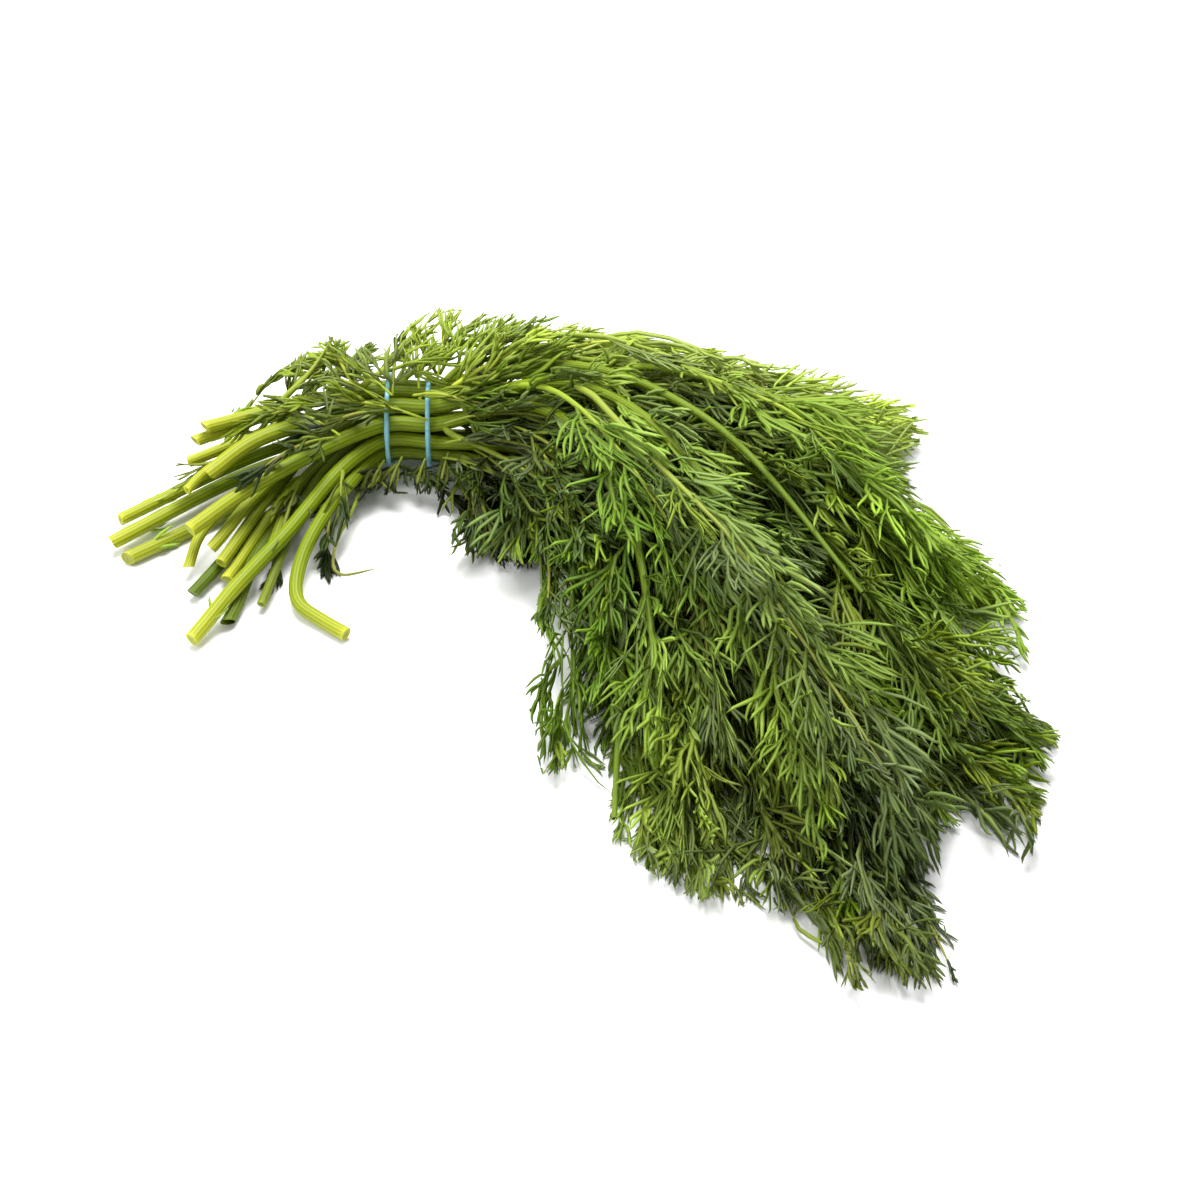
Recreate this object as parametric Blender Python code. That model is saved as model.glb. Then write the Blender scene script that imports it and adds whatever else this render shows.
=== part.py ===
"""A bunch of dill lying on its side: nineteen cut stems, each in one piece with its feathery leaves, held
by a blue elastic that goes round twice. Lengths are millimetres until they become vertices, which are
metres, +Z up. The origin is the middle of the small flat underside on which the lowest stem rests, 41 mm
from the elastic."""

import math
import random
from collections import namedtuple

import bmesh
import bpy
import numpy as np
from mathutils import Vector

MM = 0.001
TIE = np.array((38.0, 15.0, 17.4))  # the middle of the elastic
TIE_HALF = 8.0  # the stems run straight this far on each side of it
PITCH = 6.15  # from one ring of stems to the next, where they are tied
REST_HALF = 8.0  # half the length of the flat underside

STEP = 3.0  # between the points of a stem's centre line
GAP = 0.7  # between tied stems
LEAF_SPACE = 4.0  # between stems where they carry leaves, besides GAP
PRESS_ROUNDS = 70
PRESS_LAST = 12  # rounds at the end in which nothing is smoothed any more
PRESS_SHARE = 0.3  # the share of an overlap that each stem gives way by in a round
TAPER = 0.7  # the share of its girth that a stem loses by its tip

RACHIS = (0.85, 0.5)  # a leaf's midrib: its radius at the stem and at the tip
LEAF_BASE = 3.0  # the length of stem that a leaf grows from
RISE = 5.5  # how far a leaf first stands out
LEAF_SHARES = ((0.12, 0.76), (0.36, 1.0))  # where each side leaf starts and ends, from tie to tip
LEAF_DRAWS = 60
LEAF_SEED = 16
FROND_FROM = 0.63  # the share of the way from tie to tip where a stem's own leaflets begin
WHORL = 16.2  # between whorls of leaflets
LAST = 9.0  # from the last whorl to the tip
LEAFLET = 25.0  # the longest leaflet
LEAFLET_BASE = 1.25
LEAFLET_RADII = (0.72, 0.05)
LEAFLET_TRIES = 14
CLEAR = 0.16  # between leaflets
LEAF_CLEAR = 0.3  # between midribs
STEM_BEND = 0.36  # how far the straight runs between a stem's rings may stray from its curved line
LEAF_BEND = 0.5
SLACK = 0.45  # kept free round a curved line for that
FLOOR = 0.4  # leaflets end no lower
LEAFLETS = 100000  # leaflets' tags start here
CROWN = 60.0  # the top of the heap of leaves

STRAND = 0.7  # the elastic's radius
STRAND_HALF = 7.0  # from the tie's middle to each of its two strands
STRAND_LOOP = 16.3  # from the bunch's middle line to each strand's
STRAND_CLEAR = 0.6  # from the stems to the strands
STRAND_TURN = 3.2  # how sharply one strand turns over into the other
STRAND_CROSSES = math.radians(-25)  # where the strands pass each other, from the back
STRAND_OVER = 1.9  # how far one stands out there to pass over the other
STRAND_HUMP = 0.55  # for how much of the turn, in radians
STRAND_POINTS = 64

EDGE = (  # the heap of leaves seen from above, from the tie's middle
    (-30, 34),
    (0, 32),
    (60, 24),
    (128, 14),
    (186, 8),
    (196, -30),
    (209, -80),
    (213, -140),
    (208, -186),
    (196, -220),
    (170, -214),
    (170, -252),
    (126, -252),
    (114, -230),
    (70, -204),
    (50, -168),
    (44, -110),
    (18, -66),
    (-20, -40),
)

SLOPE = 1.19  # a height counts for this much depth where the bunch is seen from 40 degrees above its front
OUTLINE = (  # the bunch's outline seen so, laid flat on the surface, from the tie's middle
    (-86, -10),
    (-65, 37),
    (-36, 78),
    (-14, 72),
    (3, 97),
    (47, 91),
    (85, 76),
    (122, 68),
    (160, 52),
    (186, 28),
    (174, -22),
    (198, -50),
    (206, -78),
    (202, -120),
    (209, -141),
    (196, -187),
    (186, -214),
    (182, -177),
    (166, -186),
    (168, -246),
    (128, -246),
    (130, -220),
    (92, -211),
    (70, -190),
    (65, -156),
    (48, -160),
    (41, -118),
    (47, -60),
    (15, -57),
    (10, -20),
    (-20, -18),
    (-20, -60),
    (-6, -60),
    (-46, -94),
    (-70, -100),
    (-102, -45),
)

# cut, via and tip are measured from the tie's middle, seen from above, with heights from the surface. ring
# and angle are the stem's place in the tie, 0 degrees at the back and 90 on top. lift is its height halfway
# to the tip.
Stem = namedtuple("Stem", "name cut via ring angle tip lift radius leaves")
STEMS = (
    Stem("stem_01_top_back", (-72.8, -21.1, 24.0), (), 2, 60, (165, -22, 22), 43, 2.1, 2),
    Stem("stem_02_top", (-69.2, -20.0, 29.0), (), 2, 90, (154, -124, 32), 53, 2.2, 2),
    Stem("stem_03_thin", (-73.7, -40.1, 17.0), ((-66.0, -29.0, 19.0),), 2, 30, (128, 8, 26), 36, 1.6, 2),
    Stem("stem_04_back", (-76.0, -19.7, 14.0), (), 2, 0, (162, 4, 16), 27, 2.0, 2),
    Stem("stem_05_thick", (-65.7, -41.2, 25.0), ((-49, -26, 29),), 2, 120, (132, -190, 22), 52, 2.75, 1),
    Stem("stem_06_long", (-98.1, -39.1, 4.0), (), 2, 330, (187, 2, 6), 14, 2.2, 2),
    Stem("stem_07_long", (-98.7, -52.1, 4.5), (), 2, 300, (203, -62, 4), 8, 2.5, 2),
    Stem("stem_08_low", (-93.2, -58.3, 2.4), ((-38.0, -15.0, 2.1),), 2, 270, (208, -110, 3), 7, 2.42, 2),
    Stem("stem_09_big", (-70.7, -60.1, 16.0), ((-47.9, -40.8, 22.0),), 2, 150, (86, -160, 22), 44, 2.65, 2),
    Stem("stem_10_stub", (-71.2, -65.3, 4.0), ((-66.0, -48.0, 9.0),), 1, 330, (208, -148, 4), 18, 1.8, 1),
    Stem("stem_11", (-63.5, -62.0, 9.0), (), 1, 90, (174, -156, 20), 42, 2.0, 2),
    Stem("stem_12", (-60.3, -66.2, 6.0), (), 1, 30, (198, -86, 12), 30, 2.1, 2),
    Stem("stem_13", (-58.0, -69.9, 3.5), (), 1, 270, (190, -216, 3), 16, 2.0, 1),
    Stem("stem_14_front", (-66.1, -101.2, 3.0), ((-42.1, -61.0, 10.0),), 2, 180, (70, -196, 4), 22, 2.5, 2),
    Stem("stem_15_dark", (-68.6, -77.1, 3.0), (), 2, 240, (118, -229, 3), 8, 2.1, 2),
    Stem("stem_16_dark", (-55.9, -91.2, 3.0), (), 1, 210, (96, -217, 3), 14, 2.2, 1),
    Stem("stem_17_thin", (-45.3, -83.2, 3.0), (), 1, 150, (52, -160, 5), 30, 1.6, 2),
    Stem(
        "stem_18_bent",
        (-15.2, -97.1, 2.6),
        ((-24.9, -89.2, 2.6), (-32.9, -81.8, 4.0), (-33.3, -66.5, 8.0), (-21.5, -31.0, 13.0)),
        2,
        210,
        (40, -98, 4),
        12,
        2.35,
        1,
    ),
    Stem("stem_19", (-48.5, -62.3, 5.0), (), 0, 0, (152, -249, 3), 26, 1.9, 1),
)
RESTING = "stem_08_low"

# Leaves placed by hand: those round the tie and among the cut stems, and those that end at the heap's edge.
# start is how far from the tie's middle one leaves its stem, and via are points on its way.
Sprig = namedtuple("Sprig", "stem start tip via")
SPRIGS = (
    Sprig("stem_02_top", -15, (8, 26, 50), ()),
    Sprig("stem_02_top", -42, (-24, 12, 46), ()),
    Sprig("stem_02_top", 8, (38, 26, 50), ()),
    Sprig("stem_01_top_back", -26, (-6, 28, 42), ()),
    Sprig("stem_01_top_back", -8, (20, 32, 46), ()),
    Sprig("stem_01_top_back", 14, (56, 26, 46), ()),
    Sprig("stem_05_thick", 11, (42, -4, 52), ()),
    Sprig("stem_04_back", -45, (-14, 27, 32), ()),
    Sprig("stem_04_back", -60, (-46, 6, 34), ()),
    Sprig("stem_03_thin", -46, (-38, 14, 34), ()),
    Sprig("stem_03_thin", -58, (-80, -30, 21), ()),
    Sprig("stem_18_bent", -13, (-7.5, -61.8, 2.4), ((-17.5, -34, 7), (-23.0, -56, 5), (-21.5, -66.5, 3))),
    Sprig("stem_14_front", -24, (-20, -50, 4), ()),
    Sprig("stem_18_bent", -14, (3, -28, 4), ()),
    Sprig("stem_18_bent", 10, (22, -50, 5), ()),
    Sprig("stem_17_thin", 24, (38, -58, 4), ()),
    Sprig("stem_17_thin", 34, (42, -98, 4), ()),
    Sprig("stem_16_dark", -38, (-46, -92, 4), ()),
    Sprig("stem_13", 90, (203, -182, 3), ()),
    Sprig("stem_13", 110, (176, -184, 3), ()),
    Sprig("stem_10_stub", 100, (200, -164, 8), ()),
    Sprig("stem_10_stub", 130, (198, -150, 6), ()),
    Sprig("stem_19", 110, (164, -245, 3), ()),
    Sprig("stem_19", 90, (132, -245, 3), ()),
    Sprig("stem_16_dark", 60, (82, -206, 3), ()),
    Sprig("stem_05_thick", 60, (160, -200, 14), ()),
)


def along(points, step):
    """Points every step along a smooth curve through the given ones, which don't swing out between them."""
    first, second, *_ = points
    *_, last_but_one, last = points
    knots = np.array([2 * first - second, *points, 2 * last - last_but_one])
    curve = []
    for a, b, c, d in zip(knots, knots[1:], knots[2:], knots[3:]):
        ab, bc, cd = (math.sqrt(np.linalg.norm(far)) for far in (b - a, c - b, d - c))
        leaving = (c - b) + bc * ((b - a) / ab - (c - a) / (ab + bc))
        arriving = (c - b) + bc * ((d - c) / cd - (d - b) / (bc + cd))
        pieces = max(2, int(np.linalg.norm(c - b) / 2))
        for t in np.arange(pieces) / pieces:
            eased = t * t * (3 - 2 * t)
            pull = t * (1 - t) * ((1 - t) * leaving - t * arriving)
            curve.append(b + eased * (c - b) + pull)
    return evenly(np.array([*curve, last]), step)


def evenly(curve, step):
    """The same curve with points at even distances of about step."""
    run = np.concatenate(([0], np.cumsum(np.linalg.norm(np.diff(curve, axis=0), axis=1))))
    stops = np.linspace(0, run[-1], max(3, round(run[-1] / step) + 1))
    return np.stack([np.interp(stops, run, axis) for axis in curve.T], axis=1)


def arc(start, reach, end, middle_height, stops):
    """Points at the given shares of a way that leaves start along X, by reach, and curves over to end."""
    control = start + np.array((reach, 0, 0))
    control[2] = 2 * middle_height - (start[2] + end[2]) / 2
    return [(1 - t) ** 2 * start + 2 * t * (1 - t) * control + t * t * end for t in stops]


def route(stem):
    """A stem's centre line from its cut to its tip, before the stems press on each other."""
    turn = math.radians(stem.angle)
    place = stem.ring * PITCH
    slot = TIE + (0, place * math.cos(turn), place * math.sin(turn))
    base = np.array((TIE[0], TIE[1], 0))
    cut, tip = base + stem.cut, base + stem.tip
    left, right = slot - (TIE_HALF, 0, 0), slot + (TIE_HALF, 0, 0)
    via = [base + p for p in stem.via]
    if not via:
        reach = 0.3 * np.linalg.norm(left - cut)
        via = arc(left, -reach, cut, (left[2] + cut[2]) / 2, (0.55,))
    out = arc(right, 0.42 * np.linalg.norm((tip - right)[:2]), tip, stem.lift, (0.3, 0.62))
    line = along([cut, *via, left, right, *out, tip], STEP)
    if stem.name == RESTING:
        line[rests(line), 2] = stem.radius * math.cos(math.radians(30))
    return line


def rests(line):
    """Which points lie on the flat stretch round the origin, or next to it."""
    return np.linalg.norm(line[:, :2], axis=1) < REST_HALF + 2 * STEP


def girths(stem, line):
    """The stem's radius at each point: even up to the tie, then tapering."""
    run = np.linspace(0, 1, len(line))
    tied = run[np.argmin(np.linalg.norm(line - TIE, axis=1))]
    past = np.clip((run - tied) / (1 - tied), 0, 1)
    return stem.radius * (1 - TAPER * past**0.8), past


def press(lines, radii, past):
    """Moves the centre lines apart until the stems clear each other, the surface and the elastic."""
    count = [len(line) for line in lines]
    owner = np.repeat(np.arange(len(lines)), count)
    start = np.concatenate(lines)
    radius = np.concatenate(radii)
    room = radius + GAP / 2 + LEAF_SPACE / 2 * np.clip(np.concatenate(past) * 4 - 0.2, 0, 1)
    tied = np.abs(start[:, 0] - TIE[0]) < TIE_HALF + 4
    resting = rests(start) & (owner == [s.name for s in STEMS].index(RESTING))
    apart = owner[:, None] != owner[None, :]
    shift = np.zeros_like(start)
    for turn in range(PRESS_ROUNDS):
        now = start + shift
        square = (now**2).sum(1)
        away = square[:, None] + square[None, :] - 2 * now @ now.T
        need = (room[:, None] + room[None, :]) ** 2
        first, second = np.nonzero((away < need) & apart)
        gap = now[first] - now[second]
        far = np.maximum(np.linalg.norm(gap, axis=1), 0.05)
        push = (PRESS_SHARE * (room[first] + room[second] - far) / far)[:, None] * gap
        np.add.at(shift, first, push)
        shift[resting] = 0
        if turn < PRESS_ROUNDS - PRESS_LAST:
            shift = np.concatenate([ease(part) for part in np.split(shift, np.cumsum(count)[:-1])])
        now = start + shift
        now[:, 2] = np.maximum(now[:, 2], radius + 0.05)
        ring = now - TIE
        ring[:, 0] = 0
        reach = np.maximum(np.linalg.norm(ring, axis=1), 0.05)
        over = np.maximum(reach - (STRAND_LOOP - STRAND - STRAND_CLEAR - radius), 0) * tied
        now -= (over / reach)[:, None] * ring
        shift = now - start
        shift[resting] = 0
    return np.split(start + shift, np.cumsum(count)[:-1])


def ease(part):
    """Spreads a shift along a stem, so that it bends and doesn't kink."""
    padded = np.concatenate((part[:1], part, part[-1:]))
    return 0.25 * padded[:-2] + 0.5 * part + 0.25 * padded[2:]


class Axis:
    """A centre line that leaves grow from: points, radii and a frame at any distance along it."""

    def __init__(self, line, radii):
        self.line, self.radii = line, radii
        self.run = np.concatenate(([0], np.cumsum(np.linalg.norm(np.diff(line, axis=0), axis=1))))
        self.length = self.run[-1]

    def at(self, s):
        return np.array([np.interp(s, self.run, axis) for axis in self.line.T])

    def radius(self, s):
        return float(np.interp(s, self.run, self.radii))

    def frame(self, s):
        """Forward, side and up at s. Side is level."""
        forward = self.at(min(s + 2, self.length)) - self.at(max(s - 2, 0))
        forward /= np.linalg.norm(forward)
        side = np.cross((0, 0, 1), forward)
        side /= np.linalg.norm(side)
        return forward, side, np.cross(forward, side)


class Placed:
    """Every rod placed so far, for keeping the next one clear of them."""

    def __init__(self):
        self.rods = np.zeros((0, 8))
        self.tags = np.zeros(0, int)

    def add(self, points, radii, tag):
        rows = np.column_stack((points[:-1], points[1:], radii[:-1], radii[1:]))
        self.rods = np.concatenate((self.rods, rows))
        self.tags = np.concatenate((self.tags, np.full(len(rows), tag)))

    def gap(self, p, q, from_radius, to_radius, skip=None, only=None):
        """The least gap between a rod from p to q and those placed, less the ones tagged skip."""
        middle, reach = (p + q) / 2, np.linalg.norm(q - p) / 2 + 6
        close = (np.abs((self.rods[:, :3] + self.rods[:, 3:6]) / 2 - middle) < reach + 8).all(1)
        close &= self.tags != skip if only is None else self.tags == only
        rods = self.rods[close]
        if not len(rods):
            return 99.0
        a, d2 = rods[:, :3], rods[:, 3:6] - rods[:, :3]
        d1, r = q - p, p - a
        aa, ee, ff = d1 @ d1, (d2 * d2).sum(1) + 1e-9, (d2 * r).sum(1)
        cc, bb = r @ d1, d2 @ d1
        s = np.clip((bb * ff - cc * ee) / np.maximum(aa * ee - bb * bb, 1e-9), 0, 1)
        t = np.clip((bb * s + ff) / ee, 0, 1)
        s = np.clip((bb * t - cc) / aa, 0, 1)
        far = np.linalg.norm(p + s[:, None] * d1 - a - t[:, None] * d2, axis=1)
        own = from_radius + s * (to_radius - from_radius)
        return float((far - own - rods[:, 6] - t * (rods[:, 7] - rods[:, 6])).min())


def inside(x, y, edge):
    """True if a place lies inside a closed edge."""
    crossed = False
    for (x0, y0), (x1, y1) in zip(edge, edge[1:] + edge[:1]):
        if (y0 > y) != (y1 > y) and x < x0 + (x1 - x0) * (y - y0) / (y1 - y0):
            crossed = not crossed
    return crossed


def on_heap(place):
    """True if a place lies over the heap of leaves, seen from above."""
    return inside(place[0] - TIE[0], place[1] - TIE[1], EDGE)


def in_outline(place):
    """True if a place lies in the bunch's outline."""
    return inside(place[0] - TIE[0], place[1] - TIE[1] + SLOPE * place[2], OUTLINE)


def roof(place):
    """How high the heap of leaves may reach over a place: its back slopes down to the surface."""
    x, y = place[0] - TIE[0], place[1] - TIE[1]
    return min(CROWN, 80 - 0.28 * max(0, x - 20) - 0.84 * y)


def leaf_line(parent, s, side, tip, via=()):
    """A leaf's midrib, from the middle of one side of the stem: out, then over to the tip."""
    forward, level, up = parent.frame(s)
    forward = forward * np.sign(forward @ ((via[0] if via else tip) - parent.at(s)))
    lean = math.radians(30 + 60 * side)
    out = math.cos(lean) * level + math.sin(lean) * up
    root = parent.at(s) + 0.86 * parent.radius(s) * out
    rise = root + (forward * 0.75 + out * 0.66) * RISE
    far = np.linalg.norm(tip - rise)
    control = rise + (forward * 0.85 + out * 0.45) * far * 0.38
    bend = [(1 - t) ** 2 * rise + 2 * t * (1 - t) * control + t * t * tip for t in np.linspace(0, 1, 8)]
    line = along([root, rise, *via, tip], 4) if via else evenly(np.array([root, *bend]), RISE)
    for place in line[1:]:
        place[2] = max(min(place[2], roof(place) - 4), 1.9)
    return Axis(line, np.linspace(*RACHIS, len(line)))


def clearest(parent, tag, placed, draws):
    """Of several drawn leaves (distance, side, tip, points on the way), the one with the most room."""
    best, best_gap = None, LEAF_CLEAR
    for s, side, tip, via in draws:
        leaf = leaf_line(parent, s, side, tip, via)
        rods = list(zip(leaf.line, leaf.line[1:], leaf.radii, leaf.radii[1:]))
        gap = min(placed.gap(*rod, skip=None if at else tag) for at, rod in enumerate(rods))
        if gap > best_gap:
            best, best_gap = (s, side, leaf), gap
    return best


def leaves_on(parent, stem, placed, draw, tag):
    """A stem's sprigs and side leaves as (distance, side, midrib)."""
    tied = parent.run[np.argmin(np.linalg.norm(parent.line - TIE, axis=1))]
    leafy = parent.length - tied
    found = []

    def keep(draws):
        free = [d for d in draws if all(abs(d[0] - other[0]) > 5.5 for other in found)]
        leaf = clearest(parent, tag, placed, free)
        if leaf:
            found.append(leaf)
            placed.add(leaf[2].line, leaf[2].radii + SLACK, tag + len(found))

    for sprig in SPRIGS:
        if sprig.stem == stem.name:
            tip = TIE * (1, 1, 0) + sprig.tip
            via = [TIE * (1, 1, 0) + place for place in sprig.via]
            start = parent.run[np.argmin(np.abs(parent.line[:, 0] - TIE[0] - sprig.start))]
            draws = []
            for _ in range(LEAF_DRAWS):
                s = start + draw.uniform(-4, 4)
                forward, level, up = parent.frame(s)
                way = (via[0] if via else tip) - parent.at(s)
                lean = math.degrees(math.atan2(way @ up, way @ level)) + draw.choice((0, 0, -50, 50))
                draws.append((s, round((lean - 30) / 60) % 6, tip + jitter(draw, 3), via))
            keep(draws)
    hand = draw.choice((0, 1))
    for turn in range(stem.leaves):
        start, end = LEAF_SHARES[turn]
        first_way = 1 if (turn + hand) % 2 else -1
        draws = []
        for _ in range(LEAF_DRAWS):
            side_way = first_way * draw.choice((1, 1, -1))
            s = tied + leafy * (start + draw.uniform(-0.07, 0.07))
            stop = tied + leafy * (end + draw.uniform(-0.2, 0.05))
            forward, level, _ = parent.frame(min(stop, parent.length))
            tip = parent.at(stop) + forward * max(0, stop - parent.length)
            tip = tip + level * side_way * draw.uniform(9, 27) + jitter(draw, 5) * (1, 1, 0.9)
            tip[2] = max(min(tip[2], roof(tip) - 6), 2.5)
            if on_heap(tip) and in_outline(tip) and in_outline(tip + 5 * forward):
                draws.append((s, draw.choice((0, 5) if side_way > 0 else (2, 3)), tip, ()))
        keep(draws)
    return found


def jitter(draw, most):
    return np.array([draw.uniform(-most, most) for _ in range(3)])


def whorls(axis, start, sides, placed, draw, tag, size):
    """Leaflets in whorls from start to the axis's end: (distance, {side: apex})."""
    found = []
    number = max(2, round((axis.length - start - LAST) / WHORL) + 1)
    for turn, s in enumerate(np.linspace(start, axis.length - LAST, number)):
        share = turn / max(1, number - 1)
        reach = size * (0.55 + 0.65 * math.sin(math.pi * (0.25 + 0.62 * share)) ** 1.3) - 3 * share
        forward, side_way, up = axis.frame(s)
        apexes = {}
        rods = []
        for side in range(sides):
            turned = 2 * math.pi * (side + 0.5) / sides + (math.pi / 4 if sides == 4 else 0)
            for attempt in range(LEAFLET_TRIES):
                sweep = math.radians(draw.uniform(30, 52) + 1.2 * attempt * draw.choice((-1, 1)))
                round_by = turned + draw.uniform(-0.3, 0.3) * (1 + attempt / LEAFLET_TRIES)
                out = math.cos(round_by) * side_way + math.sin(round_by) * up
                way = forward * math.cos(sweep) + out * math.sin(sweep)
                long = reach * draw.uniform(0.85, 1.1) * (0.62 + 0.38 * abs(math.cos(turned)))
                long *= 1 - 0.45 * attempt / LEAFLET_TRIES
                root = axis.at(s) + axis.radius(s) * out * 0.8
                apex = root + way * long
                apex[2] = max(min(apex[2], roof(apex)), FLOOR)
                if not in_outline(apex) and attempt < LEAFLET_TRIES - 1:
                    continue
                clear = placed.gap(root + way, apex, *LEAFLET_RADII, skip=tag)
                if min(clear, placed.gap(root + way * 3, apex, *LEAFLET_RADII, only=tag)) > CLEAR:
                    apexes[side] = apex
                    rods.append((root, apex))
                    break
        for root, apex in rods:
            placed.add(np.array((root, apex)), np.array(LEAFLET_RADII), LEAFLETS + tag * 100 + turn)
        found.append((s, apexes))
    return found


def simple(line, most):
    """The points that keep a line within most of itself."""
    if len(line) < 3:
        return [0, len(line) - 1]
    chord = line[-1] - line[0]
    offset = line - line[0]
    share = np.clip(offset @ chord / (chord @ chord), 0, 1)
    far = np.linalg.norm(offset - share[:, None] * chord, axis=1)
    at = int(far.argmax())
    if far[at] < most:
        return [0, len(line) - 1]
    return simple(line[: at + 1], most)[:-1] + [at + i for i in simple(line[at:], most)]


def bends(axis, most):
    """Where an axis needs a ring to keep its line, short of its tip."""
    return [axis.run[i] for i in simple(axis.line, most) if axis.run[i] < axis.length - LAST + 2]


def corners(bm, axis, s, sides):
    """A ring of corners round the axis at s."""
    forward, side, up = axis.frame(s)
    middle = axis.at(s)
    if sides == 6 and math.hypot(middle[0], middle[1]) < REST_HALF + 1 and middle[2] < axis.radius(s):
        up = np.array((0, 0, 1.0))
    shift = math.pi / 4 if sides == 4 else 0
    ring = []
    for k in range(sides):
        turned = 2 * math.pi * k / sides + shift
        place = middle + axis.radius(s) * (math.cos(turned) * side + math.sin(turned) * up)
        ring.append(bm.verts.new(Vector(place * MM)))
    return ring


def hole(ring, following, side):
    """The four corners of the wall on one side between two rings, in order seen from outside."""
    after = (side + 1) % len(ring)
    return [ring[side], ring[after], following[after], following[side]]


def walls(bm, ring, following, open_sides=()):
    for side in range(len(ring)):
        if side not in open_sides:
            bm.faces.new(hole(ring, following, side))


def point(bm, rim, apex):
    """Closes a rim with triangles that meet in an apex."""
    top = bm.verts.new(Vector(apex * MM))
    for a, b in zip(rim, rim[1:] + rim[:1]):
        bm.faces.new((a, b, top))


def aligned(rim, ring):
    """The rim started at the corner that faces the ring's first one."""
    turns = [rim[k:] + rim[:k] for k in range(len(rim))]
    return min(turns, key=lambda turn: sum((a.co - b.co).length for a, b in zip(turn, ring)))


def grow(bm, axis, sides, stations, leaflets, leaves=(), rim=None):
    """The skin of an axis: rings joined by walls, with leaflets raised from some of them and side leaves
    from others. It starts at a rim, or with a flat cut, and ends in a last leaflet."""
    marks = [(s, s + LEAFLET_BASE, {}, apexes) for s, apexes in leaflets]
    marks += [(s - LEAF_BASE / 2, s + LEAF_BASE / 2, {side: leaf}, {}) for s, side, leaf in leaves]
    plain = [(s, s, {}, {}) for s in stations if all(not m[0] - 2.5 < s < m[1] + 2.5 for m in marks)]
    ring = rim
    for start, end, grown, apexes in sorted(marks + plain, key=lambda mark: mark[0]):
        following = corners(bm, axis, start, sides)
        if ring is None:
            bm.faces.new(following[::-1])
        else:
            walls(bm, aligned(ring, following) if ring is rim else ring, following)
        ring = following
        if end > start:
            following = corners(bm, axis, end, sides)
            walls(bm, ring, following, [*grown, *apexes])
            for side, apex in apexes.items():
                point(bm, hole(ring, following, side), apex)
            for side, leaf in grown.items():
                rings = [leaf.run[1], *[s for s in leaf.bends[1:] if s > leaf.run[1] + 3]]
                grow(bm, leaf, 4, rings, leaf.leaflets, rim=hole(ring, following, side))
            ring = following
    point(bm, ring, axis.at(axis.length))


def leafy_stem(stem, parent, leaves, leaflets):
    """One stem with all that grows on it, as one closed body."""
    bm = bmesh.new()
    grow(bm, parent, 6, parent.bends, leaflets, leaves)
    mesh = bpy.data.meshes.new(stem.name)
    bm.to_mesh(mesh)
    bm.free()
    return mesh


def strands():
    """The elastic's middle line: twice round the bunch, with the two strands passing each other at the back."""
    line = []
    for k in range(STRAND_POINTS):
        turn = 4 * math.pi * k / STRAND_POINTS
        across = STRAND_HALF * math.tanh(STRAND_TURN * math.cos(turn / 2)) / math.tanh(STRAND_TURN)
        crossing = math.exp(-(((turn - 3 * math.pi) / STRAND_HUMP) ** 2))
        reach = STRAND_LOOP + STRAND_OVER * crossing
        angle = turn + STRAND_CROSSES - math.pi
        line.append(TIE + (across, reach * math.cos(angle), reach * math.sin(angle)))
    return np.array(line)


def elastic():
    """The elastic, as one closed cord."""
    curve = bpy.data.curves.new("elastic", "CURVE")
    curve.dimensions = "3D"
    curve.bevel_depth = STRAND * MM
    curve.bevel_resolution = 1
    spline = curve.splines.new("POLY")
    spline.points.add(STRAND_POINTS - 1)
    for spot, place in zip(spline.points, strands()):
        spot.co = (*(place * MM), 1)
    spline.use_cyclic_u = True
    return curve


def material(name, colour, roughness):
    made = bpy.data.materials.new(name)
    made.use_nodes = True
    shader = made.node_tree.nodes["Principled BSDF"]
    shader.inputs["Base Color"].default_value = (*colour, 1)
    shader.inputs["Roughness"].default_value = roughness
    return made


def place(name, data, surface):
    thing = bpy.data.objects.new(name, data)
    thing.data.materials.append(surface)
    bpy.context.scene.collection.objects.link(thing)


def build():
    for thing in list(bpy.data.objects):
        bpy.data.objects.remove(thing, do_unlink=True)
    green = material("dill_green", (0.12, 0.2, 0.03), 0.55)
    blue = material("blue_rubber", (0.2, 0.55, 0.63), 0.5)
    lines = [route(stem) for stem in STEMS]
    shapes = [girths(stem, line) for stem, line in zip(STEMS, lines)]
    lines = press(lines, [radii for radii, _ in shapes], [past for _, past in shapes])
    parents = [Axis(line, radii) for line, (radii, _) in zip(lines, shapes)]
    placed = Placed()
    for tag, parent in enumerate(parents):
        placed.add(parent.line, parent.radii + SLACK, 10 * tag)
    round_tie = strands()
    placed.add(np.vstack((round_tie, round_tie[:1])), np.full(STRAND_POINTS + 1, STRAND + SLACK), -1)
    draw = random.Random(LEAF_SEED)
    grown = [leaves_on(*pair, placed, draw, 10 * n) for n, pair in enumerate(zip(parents, STEMS))]
    for n, (stem, parent, leaves) in enumerate(zip(STEMS, parents, grown)):
        for turn, (s, side, leaf) in enumerate(leaves):
            size = min(LEAFLET, 8 + leaf.length * 0.17)
            bare = leaf.length * (0.36 if leaf.length > 70 else 0.25)
            leaf.leaflets = whorls(leaf, bare, 4, placed, draw, 10 * n + 1 + turn, size)
            leaf.bends = bends(leaf, LEAF_BEND)
        tied = parent.run[np.argmin(np.linalg.norm(parent.line - TIE, axis=1))]
        start = max([tied + (parent.length - tied) * FROND_FROM, *[s + 8 for s, _, _ in leaves]])
        leaflets = whorls(parent, start, 6, placed, draw, 10 * n, LEAFLET)
        parent.bends = bends(parent, STEM_BEND)
        place(stem.name, leafy_stem(stem, parent, leaves, leaflets), green)
    place("elastic", elastic(), blue)


build()
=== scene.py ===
import math
import random
from collections import namedtuple

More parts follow.
